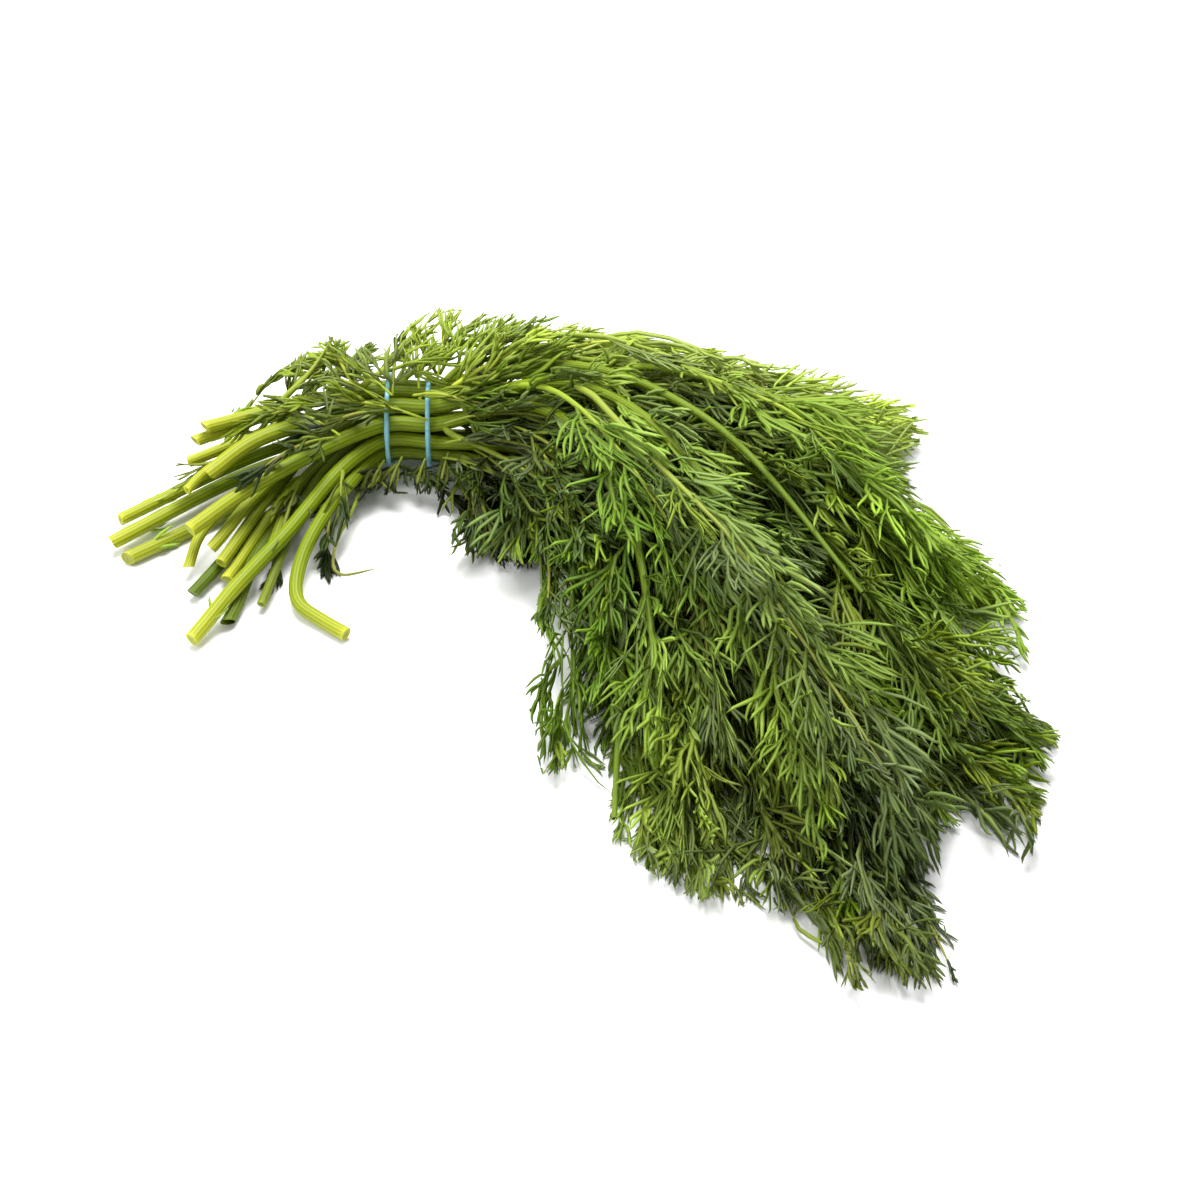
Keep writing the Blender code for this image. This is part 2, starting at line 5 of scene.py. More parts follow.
import bpy
import numpy as np
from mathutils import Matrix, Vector


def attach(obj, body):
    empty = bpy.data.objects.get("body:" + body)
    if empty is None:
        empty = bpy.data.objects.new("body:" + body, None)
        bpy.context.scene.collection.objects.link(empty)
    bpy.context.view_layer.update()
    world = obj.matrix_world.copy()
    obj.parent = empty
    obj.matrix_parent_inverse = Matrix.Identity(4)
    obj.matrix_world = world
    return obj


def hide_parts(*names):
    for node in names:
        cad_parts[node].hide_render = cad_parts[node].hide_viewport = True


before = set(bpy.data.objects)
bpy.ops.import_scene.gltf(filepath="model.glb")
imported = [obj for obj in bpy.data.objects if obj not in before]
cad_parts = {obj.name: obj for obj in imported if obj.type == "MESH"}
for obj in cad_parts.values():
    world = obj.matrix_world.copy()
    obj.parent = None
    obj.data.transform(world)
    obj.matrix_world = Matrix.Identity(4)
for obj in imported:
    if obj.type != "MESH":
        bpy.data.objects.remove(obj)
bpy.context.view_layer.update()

# --- The lie of the bunch ---------------------------------------------------------------------------------
# Nineteen cut dill stems lie on their side, pressed together where the elastic holds them and fanning out to
# both sides of it. Their centre lines and their leaves' midribs are laid out here, in millimetres.
MM = 0.001
TIE = np.array((38.0, 15.0, 17.4))  # the middle of the elastic
BASE = TIE * (1, 1, 0)  # the surface under it
TIE_HALF = 8.0  # the stems run straight this far on each side of it
PITCH = 6.15  # from one ring of stems to the next, where they are tied
REST_HALF = 8.0  # half the length of the flat underside
STEP = 3.0  # between the points of a stem's centre line
GAP = 0.7  # between tied stems
LEAF_SPACE = 4.0  # between stems where they carry leaves, besides GAP
PRESS_ROUNDS = 70
PRESS_LAST = 12  # rounds at the end in which nothing is smoothed any more
PRESS_SHARE = 0.3  # the share of an overlap that each stem gives way by in a round
TAPER = 0.7  # the share of its girth that a stem loses by its tip
RACHIS = (0.85, 0.5)  # a leaf's midrib: its radius at the stem and at the tip
RISE = 5.5  # how far a leaf first stands out
LEAF_SHARES = ((0.12, 0.76), (0.36, 1.0))  # where each side leaf starts and ends, from tie to tip
LEAF_DRAWS = 60
LEAF_SEED = 16
FROND_FROM = 0.63  # the share of the way from tie to tip where a stem's own leaflets begin
LEAF_CLEAR = 0.3  # between midribs
SLACK = 0.45  # kept free round a curved line for that
CROWN = 60.0  # the top of the heap of leaves
BACK_TOP = 80.0  # where the slope of its back would reach over the tie
BACK_FALL = (0.28, 0.84)  # what that falls by in each millimetre to the right and to the back
BACK_LEVEL = 20.0  # from the tie to the right, before it falls that way
UNDER_BACK = (4, 6)  # from there down to midribs and to their tips
LEAF_LOWEST = (1.9, 2.5)  # the least height of midribs and of their tips
LEAF_APART = 5.5  # between leaves along a stem
FREE = 99.0  # the gap that counts where nothing is near
FAR, TINY = 1e9, 1e-9
STRAND = 0.7  # the elastic's radius
STRAND_HALF = 7.0  # from the tie's middle to each of its two strands
STRAND_LOOP = 16.3  # from the bunch's middle line to each strand's
STRAND_CLEAR = 0.6  # from the stems to the strands
STRAND_TURN = 3.2  # how sharply one strand turns over into the other
STRAND_CROSSES = math.radians(-25)  # where the strands pass each other, from the back
STRAND_OVER = 1.9  # how far one stands out there to pass over the other
STRAND_HUMP = 0.55  # for how much of the turn, in radians
STRAND_POINTS = 64

EDGE = (  # the heap of leaves seen from above, from the tie's middle
    (-30, 34), (0, 32), (60, 24), (128, 14), (186, 8), (196, -30),
    (209, -80), (213, -140), (208, -186), (196, -220), (170, -214), (170, -252),
    (126, -252), (114, -230), (70, -204), (50, -168), (44, -110), (18, -66),
    (-20, -40),
)

SLOPE = 1.19  # a height counts for this much depth where the bunch is seen from 40 degrees above its front
OUTLINE = (  # the bunch's outline seen so, laid flat on the surface, from the tie's middle
    (-86, -10), (-65, 37), (-36, 78), (-14, 72), (3, 97), (47, 91),
    (85, 76), (122, 68), (160, 52), (186, 28), (174, -22), (198, -50),
    (206, -78), (202, -120), (209, -141), (196, -187), (186, -214), (182, -177),
    (166, -186), (168, -246), (128, -246), (130, -220), (92, -211), (70, -190),
    (65, -156), (48, -160), (41, -118), (47, -60), (15, -57), (10, -20),
    (-20, -18), (-20, -60), (-6, -60), (-46, -94), (-70, -100), (-102, -45),
)

# cut, via and tip are measured from the tie's middle, seen from above, with heights from the surface. ring
# and angle are the stem's place in the tie, 0 degrees at the back and 90 on top. lift is its height halfway
# to the tip.
Stem = namedtuple("Stem", "name cut via ring angle tip lift radius leaves")
STEMS = (
    Stem("stem_01_top_back", (-72.8, -21.1, 24.0), (), 2, 60, (165, -22, 22), 43, 2.1, 2),
    Stem("stem_02_top", (-69.2, -20.0, 29.0), (), 2, 90, (154, -124, 32), 53, 2.2, 2),
    Stem("stem_03_thin", (-73.7, -40.1, 17.0), ((-66.0, -29.0, 19.0),), 2, 30, (128, 8, 26), 36, 1.6, 2),
    Stem("stem_04_back", (-76.0, -19.7, 14.0), (), 2, 0, (162, 4, 16), 27, 2.0, 2),
    Stem("stem_05_thick", (-65.7, -41.2, 25.0), ((-49, -26, 29),), 2, 120, (132, -190, 22), 52, 2.75, 1),
    Stem("stem_06_long", (-98.1, -39.1, 4.0), (), 2, 330, (187, 2, 6), 14, 2.2, 2),
    Stem("stem_07_long", (-98.7, -52.1, 4.5), (), 2, 300, (203, -62, 4), 8, 2.5, 2),
    Stem("stem_08_low", (-93.2, -58.3, 2.4), ((-38.0, -15.0, 2.1),), 2, 270, (208, -110, 3), 7, 2.42, 2),
    Stem("stem_09_big", (-70.7, -60.1, 16.0), ((-47.9, -40.8, 22.0),), 2, 150, (86, -160, 22), 44, 2.65, 2),
    Stem("stem_10_stub", (-71.2, -65.3, 4.0), ((-66.0, -48.0, 9.0),), 1, 330, (208, -148, 4), 18, 1.8, 1),
    Stem("stem_11", (-63.5, -62.0, 9.0), (), 1, 90, (174, -156, 20), 42, 2.0, 2),
    Stem("stem_12", (-60.3, -66.2, 6.0), (), 1, 30, (198, -86, 12), 30, 2.1, 2),
    Stem("stem_13", (-58.0, -69.9, 3.5), (), 1, 270, (190, -216, 3), 16, 2.0, 1),
    Stem("stem_14_front", (-66.1, -101.2, 3.0), ((-42.1, -61.0, 10.0),), 2, 180, (70, -196, 4), 22, 2.5, 2),
    Stem("stem_15_dark", (-68.6, -77.1, 3.0), (), 2, 240, (118, -229, 3), 8, 2.1, 2),
    Stem("stem_16_dark", (-55.9, -91.2, 3.0), (), 1, 210, (96, -217, 3), 14, 2.2, 1),
    Stem("stem_17_thin", (-45.3, -83.2, 3.0), (), 1, 150, (52, -160, 5), 30, 1.6, 2),
    Stem(
        "stem_18_bent",
        (-15.2, -97.1, 2.6),
        ((-24.9, -89.2, 2.6), (-32.9, -81.8, 4.0), (-33.3, -66.5, 8.0), (-21.5, -31.0, 13.0)),
        2,
        210,
        (40, -98, 4),
        12,
        2.35,
        1,
    ),
    Stem("stem_19", (-48.5, -62.3, 5.0), (), 0, 0, (152, -249, 3), 26, 1.9, 1),
)
RESTING = "stem_08_low"

# Leaves placed one by one: those round the tie and among the cut stems, and those that end at the heap's
# edge.
# start is how far from the tie's middle one leaves its stem, and via are points on its way.
Sprig = namedtuple("Sprig", "stem start tip via")
SPRIGS = (
    Sprig("stem_02_top", -15, (8, 26, 50), ()),
    Sprig("stem_02_top", -42, (-24, 12, 46), ()),
    Sprig("stem_02_top", 8, (38, 26, 50), ()),
    Sprig("stem_01_top_back", -26, (-6, 28, 42), ()),
    Sprig("stem_01_top_back", -8, (20, 32, 46), ()),
    Sprig("stem_01_top_back", 14, (56, 26, 46), ()),
    Sprig("stem_05_thick", 11, (42, -4, 52), ()),
    Sprig("stem_04_back", -45, (-14, 27, 32), ()),
    Sprig("stem_04_back", -60, (-46, 6, 34), ()),
    Sprig("stem_03_thin", -46, (-38, 14, 34), ()),
    Sprig("stem_03_thin", -58, (-80, -30, 21), ()),
    Sprig("stem_18_bent", -13, (-7.5, -61.8, 2.4), ((-17.5, -34, 7), (-23.0, -56, 5), (-21.5, -66.5, 3))),
    Sprig("stem_14_front", -24, (-20, -50, 4), ()),
    Sprig("stem_18_bent", -14, (3, -28, 4), ()),
    Sprig("stem_18_bent", 10, (22, -50, 5), ()),
    Sprig("stem_17_thin", 24, (38, -58, 4), ()),
    Sprig("stem_17_thin", 34, (42, -98, 4), ()),
    Sprig("stem_16_dark", -38, (-46, -92, 4), ()),
    Sprig("stem_13", 90, (203, -182, 3), ()),
    Sprig("stem_13", 110, (176, -184, 3), ()),
    Sprig("stem_10_stub", 100, (200, -164, 8), ()),
    Sprig("stem_10_stub", 130, (198, -150, 6), ()),
    Sprig("stem_19", 110, (164, -245, 3), ()),
    Sprig("stem_19", 90, (132, -245, 3), ()),
    Sprig("stem_16_dark", 60, (82, -206, 3), ()),
    Sprig("stem_05_thick", 60, (160, -200, 14), ()),
)


def along(points, step):
    """Points every step along a smooth curve through the given ones, which don't swing out between them."""
    first, second, *_ = points
    *_, last_but_one, last = points
    knots = np.array([2 * first - second, *points, 2 * last - last_but_one])
    curve = []
    for a, b, c, d in zip(knots, knots[1:], knots[2:], knots[3:]):
        ab, bc, cd = (math.sqrt(np.linalg.norm(far)) for far in (b - a, c - b, d - c))
        leaving = (c - b) + bc * ((b - a) / ab - (c - a) / (ab + bc))
        arriving = (c - b) + bc * ((d - c) / cd - (d - b) / (bc + cd))
        pieces = max(2, int(np.linalg.norm(c - b) / 2))
        for t in np.arange(pieces) / pieces:
            eased = t * t * (3 - 2 * t)
            pull = t * (1 - t) * ((1 - t) * leaving - t * arriving)
            curve.append(b + eased * (c - b) + pull)
    return evenly(np.array([*curve, last]), step)


def evenly(curve, step):
    """The same curve with points at even distances of about step."""
    run = np.concatenate(([0], np.cumsum(np.linalg.norm(np.diff(curve, axis=0), axis=1))))
    stops = np.linspace(0, run[-1], max(3, round(run[-1] / step) + 1))
    return np.stack([np.interp(stops, run, axis) for axis in curve.T], axis=1)


def arc(start, reach, end, middle_height, stops):
    """Points at the given shares of a way that leaves start along X, by reach, and curves over to end."""
    control = start + np.array((reach, 0, 0))
    control[2] = 2 * middle_height - (start[2] + end[2]) / 2
    return [(1 - t) ** 2 * start + 2 * t * (1 - t) * control + t * t * end for t in stops]


def route(stem):
    """A stem's centre line from its cut to its tip, before the stems press on each other."""
    turn = math.radians(stem.angle)
    place = stem.ring * PITCH
    slot = TIE + (0, place * math.cos(turn), place * math.sin(turn))
    cut, tip = BASE + stem.cut, BASE + stem.tip
    left, right = slot - (TIE_HALF, 0, 0), slot + (TIE_HALF, 0, 0)
    via = [BASE + place for place in stem.via]
    if not via:
        reach = 0.3 * np.linalg.norm(left - cut)
        via = arc(left, -reach, cut, (left[2] + cut[2]) / 2, (0.55,))
    out = arc(right, 0.42 * np.linalg.norm((tip - right)[:2]), tip, stem.lift, (0.3, 0.62))
    line = along([cut, *via, left, right, *out, tip], STEP)
    if stem.name == RESTING:
        line[rests(line), 2] = stem.radius * math.cos(math.radians(30))
    return line


def rests(line):
    """Which points lie on the flat stretch round the origin, or next to it."""
    return np.linalg.norm(line[:, :2], axis=1) < REST_HALF + 2 * STEP


def girths(stem, line):
    """The stem's radius at each point: even up to the tie, then tapering."""
    run = np.linspace(0, 1, len(line))
    tied = run[np.argmin(np.linalg.norm(line - TIE, axis=1))]
    past = np.clip((run - tied) / (1 - tied), 0, 1)
    return stem.radius * (1 - TAPER * past**0.8), past


def press(lines, radii, past):
    """Moves the centre lines apart until the stems clear each other, the surface and the elastic."""
    count = [len(line) for line in lines]
    owner = np.repeat(np.arange(len(lines)), count)
    start = np.concatenate(lines)
    radius = np.concatenate(radii)
    room = radius + GAP / 2 + LEAF_SPACE / 2 * np.clip(np.concatenate(past) * 4 - 0.2, 0, 1)
    tied = np.abs(start[:, 0] - TIE[0]) < TIE_HALF + 4
    resting = rests(start) & (owner == [s.name for s in STEMS].index(RESTING))
    apart = owner[:, None] != owner[None, :]
    shift = np.zeros_like(start)
    for turn in range(PRESS_ROUNDS):
        now = start + shift
        square = (now**2).sum(1)
        away = square[:, None] + square[None, :] - 2 * now @ now.T
        need = (room[:, None] + room[None, :]) ** 2
        first, second = np.nonzero((away < need) & apart)
        gap = now[first] - now[second]
        far = np.maximum(np.linalg.norm(gap, axis=1), 0.05)
        push = (PRESS_SHARE * (room[first] + room[second] - far) / far)[:, None] * gap
        np.add.at(shift, first, push)
        shift[resting] = 0
        if turn < PRESS_ROUNDS - PRESS_LAST:
            shift = np.concatenate([ease(part) for part in np.split(shift, np.cumsum(count)[:-1])])
        now = start + shift
        now[:, 2] = np.maximum(now[:, 2], radius + 0.05)
        ring = now - TIE
        ring[:, 0] = 0
        reach = np.maximum(np.linalg.norm(ring, axis=1), 0.05)
        over = np.maximum(reach - (STRAND_LOOP - STRAND - STRAND_CLEAR - radius), 0) * tied
        now -= (over / reach)[:, None] * ring
        shift = now - start
        shift[resting] = 0
    return np.split(start + shift, np.cumsum(count)[:-1])


def ease(part):
    """Spreads a shift along a stem, so that it bends and doesn't kink."""
    padded = np.concatenate((part[:1], part, part[-1:]))
    return 0.25 * padded[:-2] + 0.5 * part + 0.25 * padded[2:]


class Axis:
    """A centre line that leaves grow from: points, radii and a frame at any distance along it."""

    def __init__(self, line, radii):
        self.line, self.radii = line, radii
        self.run = np.concatenate(([0], np.cumsum(np.linalg.norm(np.diff(line, axis=0), axis=1))))
        self.length = self.run[-1]

    def tied(self):
        """How far along it the tie is."""
        return self.run[np.argmin(np.linalg.norm(self.line - TIE, axis=1))]

    def at(self, s):
        return np.array([np.interp(s, self.run, axis) for axis in self.line.T])

    def radius(self, s):
        return float(np.interp(s, self.run, self.radii))

    def frame(self, s):
        """Forward, side and up at s. Side is level."""
        forward = self.at(min(s + 2, self.length)) - self.at(max(s - 2, 0))
        forward /= np.linalg.norm(forward)
        side = np.cross((0, 0, 1), forward)
        side /= np.linalg.norm(side)
        return forward, side, np.cross(forward, side)


class Placed:
    """Every rod placed so far, for keeping the next one clear of them."""

    def __init__(self):
        self.rods = np.zeros((0, 8))
        self.tags = np.zeros(0, int)

    def add(self, points, radii, tag):
        rows = np.column_stack((points[:-1], points[1:], radii[:-1], radii[1:]))
        self.rods = np.concatenate((self.rods, rows))
        self.tags = np.concatenate((self.tags, np.full(len(rows), tag)))

    def gap(self, p, q, from_radius, to_radius, skip=None):
        """The least gap between a rod from p to q and those placed, less the ones tagged skip."""
        middle, reach = (p + q) / 2, np.linalg.norm(q - p) / 2 + 6
        close = (np.abs((self.rods[:, :3] + self.rods[:, 3:6]) / 2 - middle) < reach + 8).all(1)
        close &= self.tags != skip
        rods = self.rods[close]
        if not len(rods):
            return FREE
        a, d2 = rods[:, :3], rods[:, 3:6] - rods[:, :3]
        d1, r = q - p, p - a
        aa, ee, ff = d1 @ d1, (d2 * d2).sum(1) + TINY, (d2 * r).sum(1)
        cc, bb = r @ d1, d2 @ d1
        s = np.clip((bb * ff - cc * ee) / np.maximum(aa * ee - bb * bb, TINY), 0, 1)
        t = np.clip((bb * s + ff) / ee, 0, 1)
        s = np.clip((bb * t - cc) / aa, 0, 1)
        far = np.linalg.norm(p + s[:, None] * d1 - a - t[:, None] * d2, axis=1)
        own = from_radius + s * (to_radius - from_radius)
        return float((far - own - rods[:, 6] - t * (rods[:, 7] - rods[:, 6])).min())


def inside(x, y, edge):
    """True if a place lies inside a closed edge."""
    crossed = False
    for (x0, y0), (x1, y1) in zip(edge, edge[1:] + edge[:1]):
        if (y0 > y) != (y1 > y) and x < x0 + (x1 - x0) * (y - y0) / (y1 - y0):
            crossed = not crossed
    return crossed


def on_heap(place):
    """True if a place lies over the heap of leaves, seen from above."""
    return inside(place[0] - TIE[0], place[1] - TIE[1], EDGE)


def in_outline(place):
    """True if a place lies in the bunch's outline."""
    return inside(place[0] - TIE[0], place[1] - TIE[1] + SLOPE * place[2], OUTLINE)


def roof(places):
    """How high the heap of leaves may reach over each place: its back slopes down to the surface."""
    x, y = places[..., 0] - TIE[0], places[..., 1] - TIE[1]
    return np.minimum(CROWN, BACK_TOP - BACK_FALL[0] * np.maximum(0, x - BACK_LEVEL) - BACK_FALL[1] * y)


def leaf_line(parent, s, side, tip, via=()):
    """A leaf's midrib, from the middle of one side of the stem: out, then over to the tip."""
    forward, level, up = parent.frame(s)
    forward = forward * np.sign(forward @ ((via[0] if via else tip) - parent.at(s)))
    lean = math.radians(30 + 60 * side)
    out = math.cos(lean) * level + math.sin(lean) * up
    root = parent.at(s) + 0.86 * parent.radius(s) * out
    rise = root + (forward * 0.75 + out * 0.66) * RISE
    far = np.linalg.norm(tip - rise)
    control = rise + (forward * 0.85 + out * 0.45) * far * 0.38
    bend = [(1 - t) ** 2 * rise + 2 * t * (1 - t) * control + t * t * tip for t in np.linspace(0, 1, 8)]
    line = along([root, rise, *via, tip], 4) if via else evenly(np.array([root, *bend]), RISE)
    for place in line[1:]:
        place[2] = max(min(place[2], roof(place) - UNDER_BACK[0]), LEAF_LOWEST[0])
    return Axis(line, np.linspace(*RACHIS, len(line)))


def clearest(parent, tag, placed, draws):
    """Of several drawn leaves (distance, side, tip, points on the way), the one with the most room."""
    best, best_gap = None, LEAF_CLEAR
    for s, side, tip, via in draws:
        leaf = leaf_line(parent, s, side, tip, via)
        rods = list(zip(leaf.line, leaf.line[1:], leaf.radii, leaf.radii[1:]))
        gap = min(placed.gap(*rod, skip=None if at else tag) for at, rod in enumerate(rods))
        if gap > best_gap:
            best, best_gap = (s, side, leaf), gap
    return best


def leaves_on(parent, stem, placed, draw, tag):
    """A stem's sprigs and side leaves as (distance, side, midrib)."""
    tied = parent.tied()
    leafy = parent.length - tied
    found = []

    def keep(draws):
        free = [d for d in draws if all(abs(d[0] - other[0]) > LEAF_APART for other in found)]
        leaf = clearest(parent, tag, placed, free)
        if leaf:
            found.append(leaf)
            placed.add(leaf[2].line, leaf[2].radii + SLACK, tag + len(found))

    for sprig in SPRIGS:
        if sprig.stem == stem.name:
            tip = BASE + sprig.tip
            via = [BASE + place for place in sprig.via]
            start = parent.run[np.argmin(np.abs(parent.line[:, 0] - TIE[0] - sprig.start))]
            draws = []
            for _ in range(LEAF_DRAWS):
                s = start + draw.uniform(-4, 4)
                forward, level, up = parent.frame(s)
                way = (via[0] if via else tip) - parent.at(s)
                lean = math.degrees(math.atan2(way @ up, way @ level)) + draw.choice((0, 0, -50, 50))
                draws.append((s, round((lean - 30) / 60) % 6, tip + jitter(draw, 3), via))
            keep(draws)
    hand = draw.choice((0, 1))
    for turn in range(stem.leaves):
        start, end = LEAF_SHARES[turn]
        first_way = 1 if (turn + hand) % 2 else -1
        draws = []
        for _ in range(LEAF_DRAWS):
            side_way = first_way * draw.choice((1, 1, -1))
            s = tied + leafy * (start + draw.uniform(-0.07, 0.07))
            stop = tied + leafy * (end + draw.uniform(-0.2, 0.05))
            forward, level, _ = parent.frame(min(stop, parent.length))
            tip = parent.at(stop) + forward * max(0, stop - parent.length)
            tip = tip + level * side_way * draw.uniform(9, 27) + jitter(draw, 5) * (1, 1, 0.9)
            tip[2] = max(min(tip[2], roof(tip) - UNDER_BACK[1]), LEAF_LOWEST[1])
            if on_heap(tip) and in_outline(tip) and in_outline(tip + 5 * forward):
                draws.append((s, draw.choice((0, 5) if side_way > 0 else (2, 3)), tip, ()))
        keep(draws)
    return found


def jitter(draw, most):
    return np.array([draw.uniform(-most, most) for _ in range(3)])


def strands():
    """The elastic's middle line: twice round the bunch, with its strands passing each other at the back."""
    line = []
    for k in range(STRAND_POINTS):
        turn = 4 * math.pi * k / STRAND_POINTS
        across = STRAND_HALF * math.tanh(STRAND_TURN * math.cos(turn / 2)) / math.tanh(STRAND_TURN)
        crossing = math.exp(-(((turn - 3 * math.pi) / STRAND_HUMP) ** 2))
        reach = STRAND_LOOP + STRAND_OVER * crossing
        angle = turn + STRAND_CROSSES - math.pi
        line.append(TIE + (across, reach * math.cos(angle), reach * math.sin(angle)))
    return np.array(line)

lines = [route(stem) for stem in STEMS]
shapes = [girths(stem, line) for stem, line in zip(STEMS, lines)]
lines = press(lines, [radii for radii, _ in shapes], [past for _, past in shapes])
parents = [Axis(line, radii) for line, (radii, _) in zip(lines, shapes)]
placed = Placed()
for tag, parent in enumerate(parents):
    placed.add(parent.line, parent.radii + SLACK, 10 * tag)
round_tie = strands()
placed.add(np.vstack((round_tie, round_tie[:1])), np.full(STRAND_POINTS + 1, STRAND + SLACK), -1)
draw = random.Random(LEAF_SEED)
grown = [leaves_on(*pair, placed, draw, 10 * n) for n, pair in enumerate(zip(parents, STEMS))]

# --- The stems --------------------------------------------------------------------------------------------
# Each is a solid green stalk, 3 to 6 mm thick, with a dozen fine ribs along it, pale on their crests. It is
# drawn out along its line from a ribbed outline, cut slantwise at the foot, and shows a pale pith there.


class Wire:
    """A value in a finish, such as a mask, that can be written in a sum."""

    def __init__(self, finish, socket):
        self.finish, self.socket = finish, socket

    def __add__(self, other):
        return self.finish.sum("ADD", self, other)

    def __rsub__(self, other):
        return self.finish.sum("SUBTRACT", other, self)

    def __mul__(self, other):
        return self.finish.sum("MULTIPLY", self, other)

    __radd__, __rmul__ = __add__, __mul__


class Finish:
    """A material and the nodes that it is made of."""

    def __init__(self, name):
        self.material = bpy.data.materials.new(name)
        self.material.use_nodes = True
        self.tree = self.material.node_tree
        self.tree.nodes.clear()

    def node(self, kind, values, result=0, **settings):
        """Adds a node of the given kind, and gives one of its results."""
        made = self.tree.nodes.new("ShaderNode" + kind)
        for name, value in settings.items():
            setattr(made, name, value)
        for name, value in values.items():
            if isinstance(value, Wire):
                self.tree.links.new(value.socket, made.inputs[name])
            else:
                made.inputs[name].default_value = value
        return Wire(self, made.outputs[result]) if made.outputs else None

    def sum(self, operation, first, second):
        return self.node("Math", {0: first, 1: second}, operation=operation)

    def blend(self, share, first, second, kind="MIX"):
        colours = {0: share, 6: first, 7: second}
        return self.node("Mix", colours, 2, data_type="RGBA", blend_type=kind)

    def reading(self, name, kind="Color"):
        return self.node("Attribute", {}, kind, attribute_name=name)

    def mottle(self, size, detail=2.0):
        """A soft random pattern from 0 to 1, with patches of about the given size in metres."""
        places = self.node("TexCoord", {}, "Object")
        return self.node("TexNoise", {"Vector": places, "Scale": 1 / size, "Detail": detail})


def paint(*shades):
    """A colour given as a screen shows it, in 255ths, as the light that it stands for."""
    parts = [shade / 255 for shade in shades]
    return tuple(p / 12.92 if p <= 0.04045 else ((p + 0.055) / 1.055) ** 2.4 for p in parts)


RIBS = 12
RIB_DEPTH = 0.07  # of the stem's radius
CUT_PALE = np.array(paint(174, 176, 50))
STALK = np.array(paint(118, 136, 14))
STALK_DEEP = np.array(paint(98, 122, 22))
STALK_DARK = np.array(paint(76, 92, 20))
PITH = np.array(paint(222, 224, 160))
PALE_LENGTH = 42.0  # the foot is paler for this far
SHORT = 9.0  # a stalk ends so far before its leaves do
CUT_IN = 0.0012  # from a stalk's start to its cut, in metres
CUT_LEAN = 0.45  # how far the cut may lean
RIND = 0.00035  # the rim of the cut, in metres
SURFACE = 0.00005  # the lowest that a piece reaches, in metres
DARK_STEMS = {"stem_15_dark": 1.0, "stem_16_dark": 0.95, "stem_17_thin": 0.8, "stem_19": 0.6, "stem_12": 0.35}

stalk_green = Finish("dill_stalk")
mottle = stalk_green.mottle(0.004)
fleck = stalk_green.mottle(0.0007)
tint = stalk_green.reading("tint")
crest = stalk_green.reading("crest", "Fac")
ridged = stalk_green.blend(crest * (0.35 + 0.5 * mottle), tint, (1.0, 1.0, 0.45, 1), "SOFT_LIGHT")
shaded = stalk_green.blend((1 - crest) * 0.3, ridged, (0.35, 0.45, 0.12, 1), "MULTIPLY")
speckled = stalk_green.blend(0.35 * fleck, shaded, (0.55, 0.6, 0.3, 1), "MULTIPLY")
bumps = stalk_green.node("Bump", {"Strength": 0.25, "Distance": 0.0002, "Height": fleck + crest})
stalk_shine = stalk_green.node(
    "BsdfPrincipled",
    {
        "Base Color": speckled,
        "Roughness": 0.42 + 0.2 * mottle,
        "Specular IOR Level": 0.25,
        "Normal": bumps,
        "Subsurface Weight": 0.12,
        "Subsurface Radius": (0.004, 0.006, 0.0015),
        "Subsurface Scale": 0.3,
    },
)
stalk_green.node("OutputMaterial", {"Surface": stalk_shine})


def deselect():
    bpy.ops.object.select_all(action="DESELECT")


def finished(thing, name):
    """Names a thing and makes it the only one picked."""
    deselect()
    thing.name = thing.data.name = name
    thing.select_set(True)
    bpy.context.view_layer.objects.active = thing
    return thing


def rib_outline():
    """The stem's outline, to be drawn out along it: a circle with low ribs, 1 unit in radius."""
    deselect()
    bpy.ops.mesh.primitive_circle_add(vertices=2 * RIBS, radius=1)
    outline = finished(bpy.context.object, "rib_outline")
    for at, corner in enumerate(outline.data.vertices):
        corner.co *= 1 - RIB_DEPTH * (at % 2)
    bpy.ops.object.convert(target="CURVE")
    return bpy.context.object


def drawn_out(name, runs, outline=None, bevel=0, kind="POLY"):
    """A mesh drawn out along runs of points in millimetres, each with its radii."""
    curve = bpy.data.curves.new(name, "CURVE")
    curve.dimensions = "3D"
    curve.twist_mode = "MINIMUM"
    if outline:
        curve.bevel_mode = "OBJECT"
        curve.bevel_object = outline
    else:
        curve.bevel_depth = MM
        curve.bevel_resolution = bevel
    for points, radii in runs:
        spline = curve.splines.new(kind)
        spline.points.add(len(points) - 1)
        spline.use_endpoint_u, spline.order_u, spline.resolution_u = True, 3, 2
        for spot, place, radius in zip(spline.points, points, radii):
            spot.co = (*(np.array(place) * MM), 1)
            spot.radius = radius * (MM if outline else 1)
    thing = bpy.data.objects.new(name, curve)
    bpy.context.scene.collection.objects.link(thing)
    finished(thing, name)
    bpy.ops.object.convert(target="MESH")
    return bpy.context.object


def colour_points(thing, name, values, kind="FLOAT_COLOR"):
    """Gives each point of a mesh a colour or a number that its finish reads."""
    made = thing.data.attributes.new(name, kind, "POINT")
    values = np.asarray(values, np.float32)
    if kind == "FLOAT_COLOR":
        made.data.foreach_set("color", np.column_stack((values, np.ones(len(values), np.float32))).ravel())
    else:
        made.data.foreach_set("value", values)


def places_of(thing):
    co = np.zeros(len(thing.data.vertices) * 3, np.float32)
    thing.data.vertices.foreach_get("co", co)
    return co.reshape(-1, 3) / MM


def nearest_run(axis, places):
    """How far along an axis each place lies, and how far from it."""
    gaps = np.linalg.norm(places[:, None] - axis.line[None], axis=2)
    return axis.run[gaps.argmin(1)], gaps.min(1)


def settled(thing):
    """Lifts what reaches under the surface."""
    for corner in thing.data.vertices:
        corner.co.z = max(corner.co.z, SURFACE)


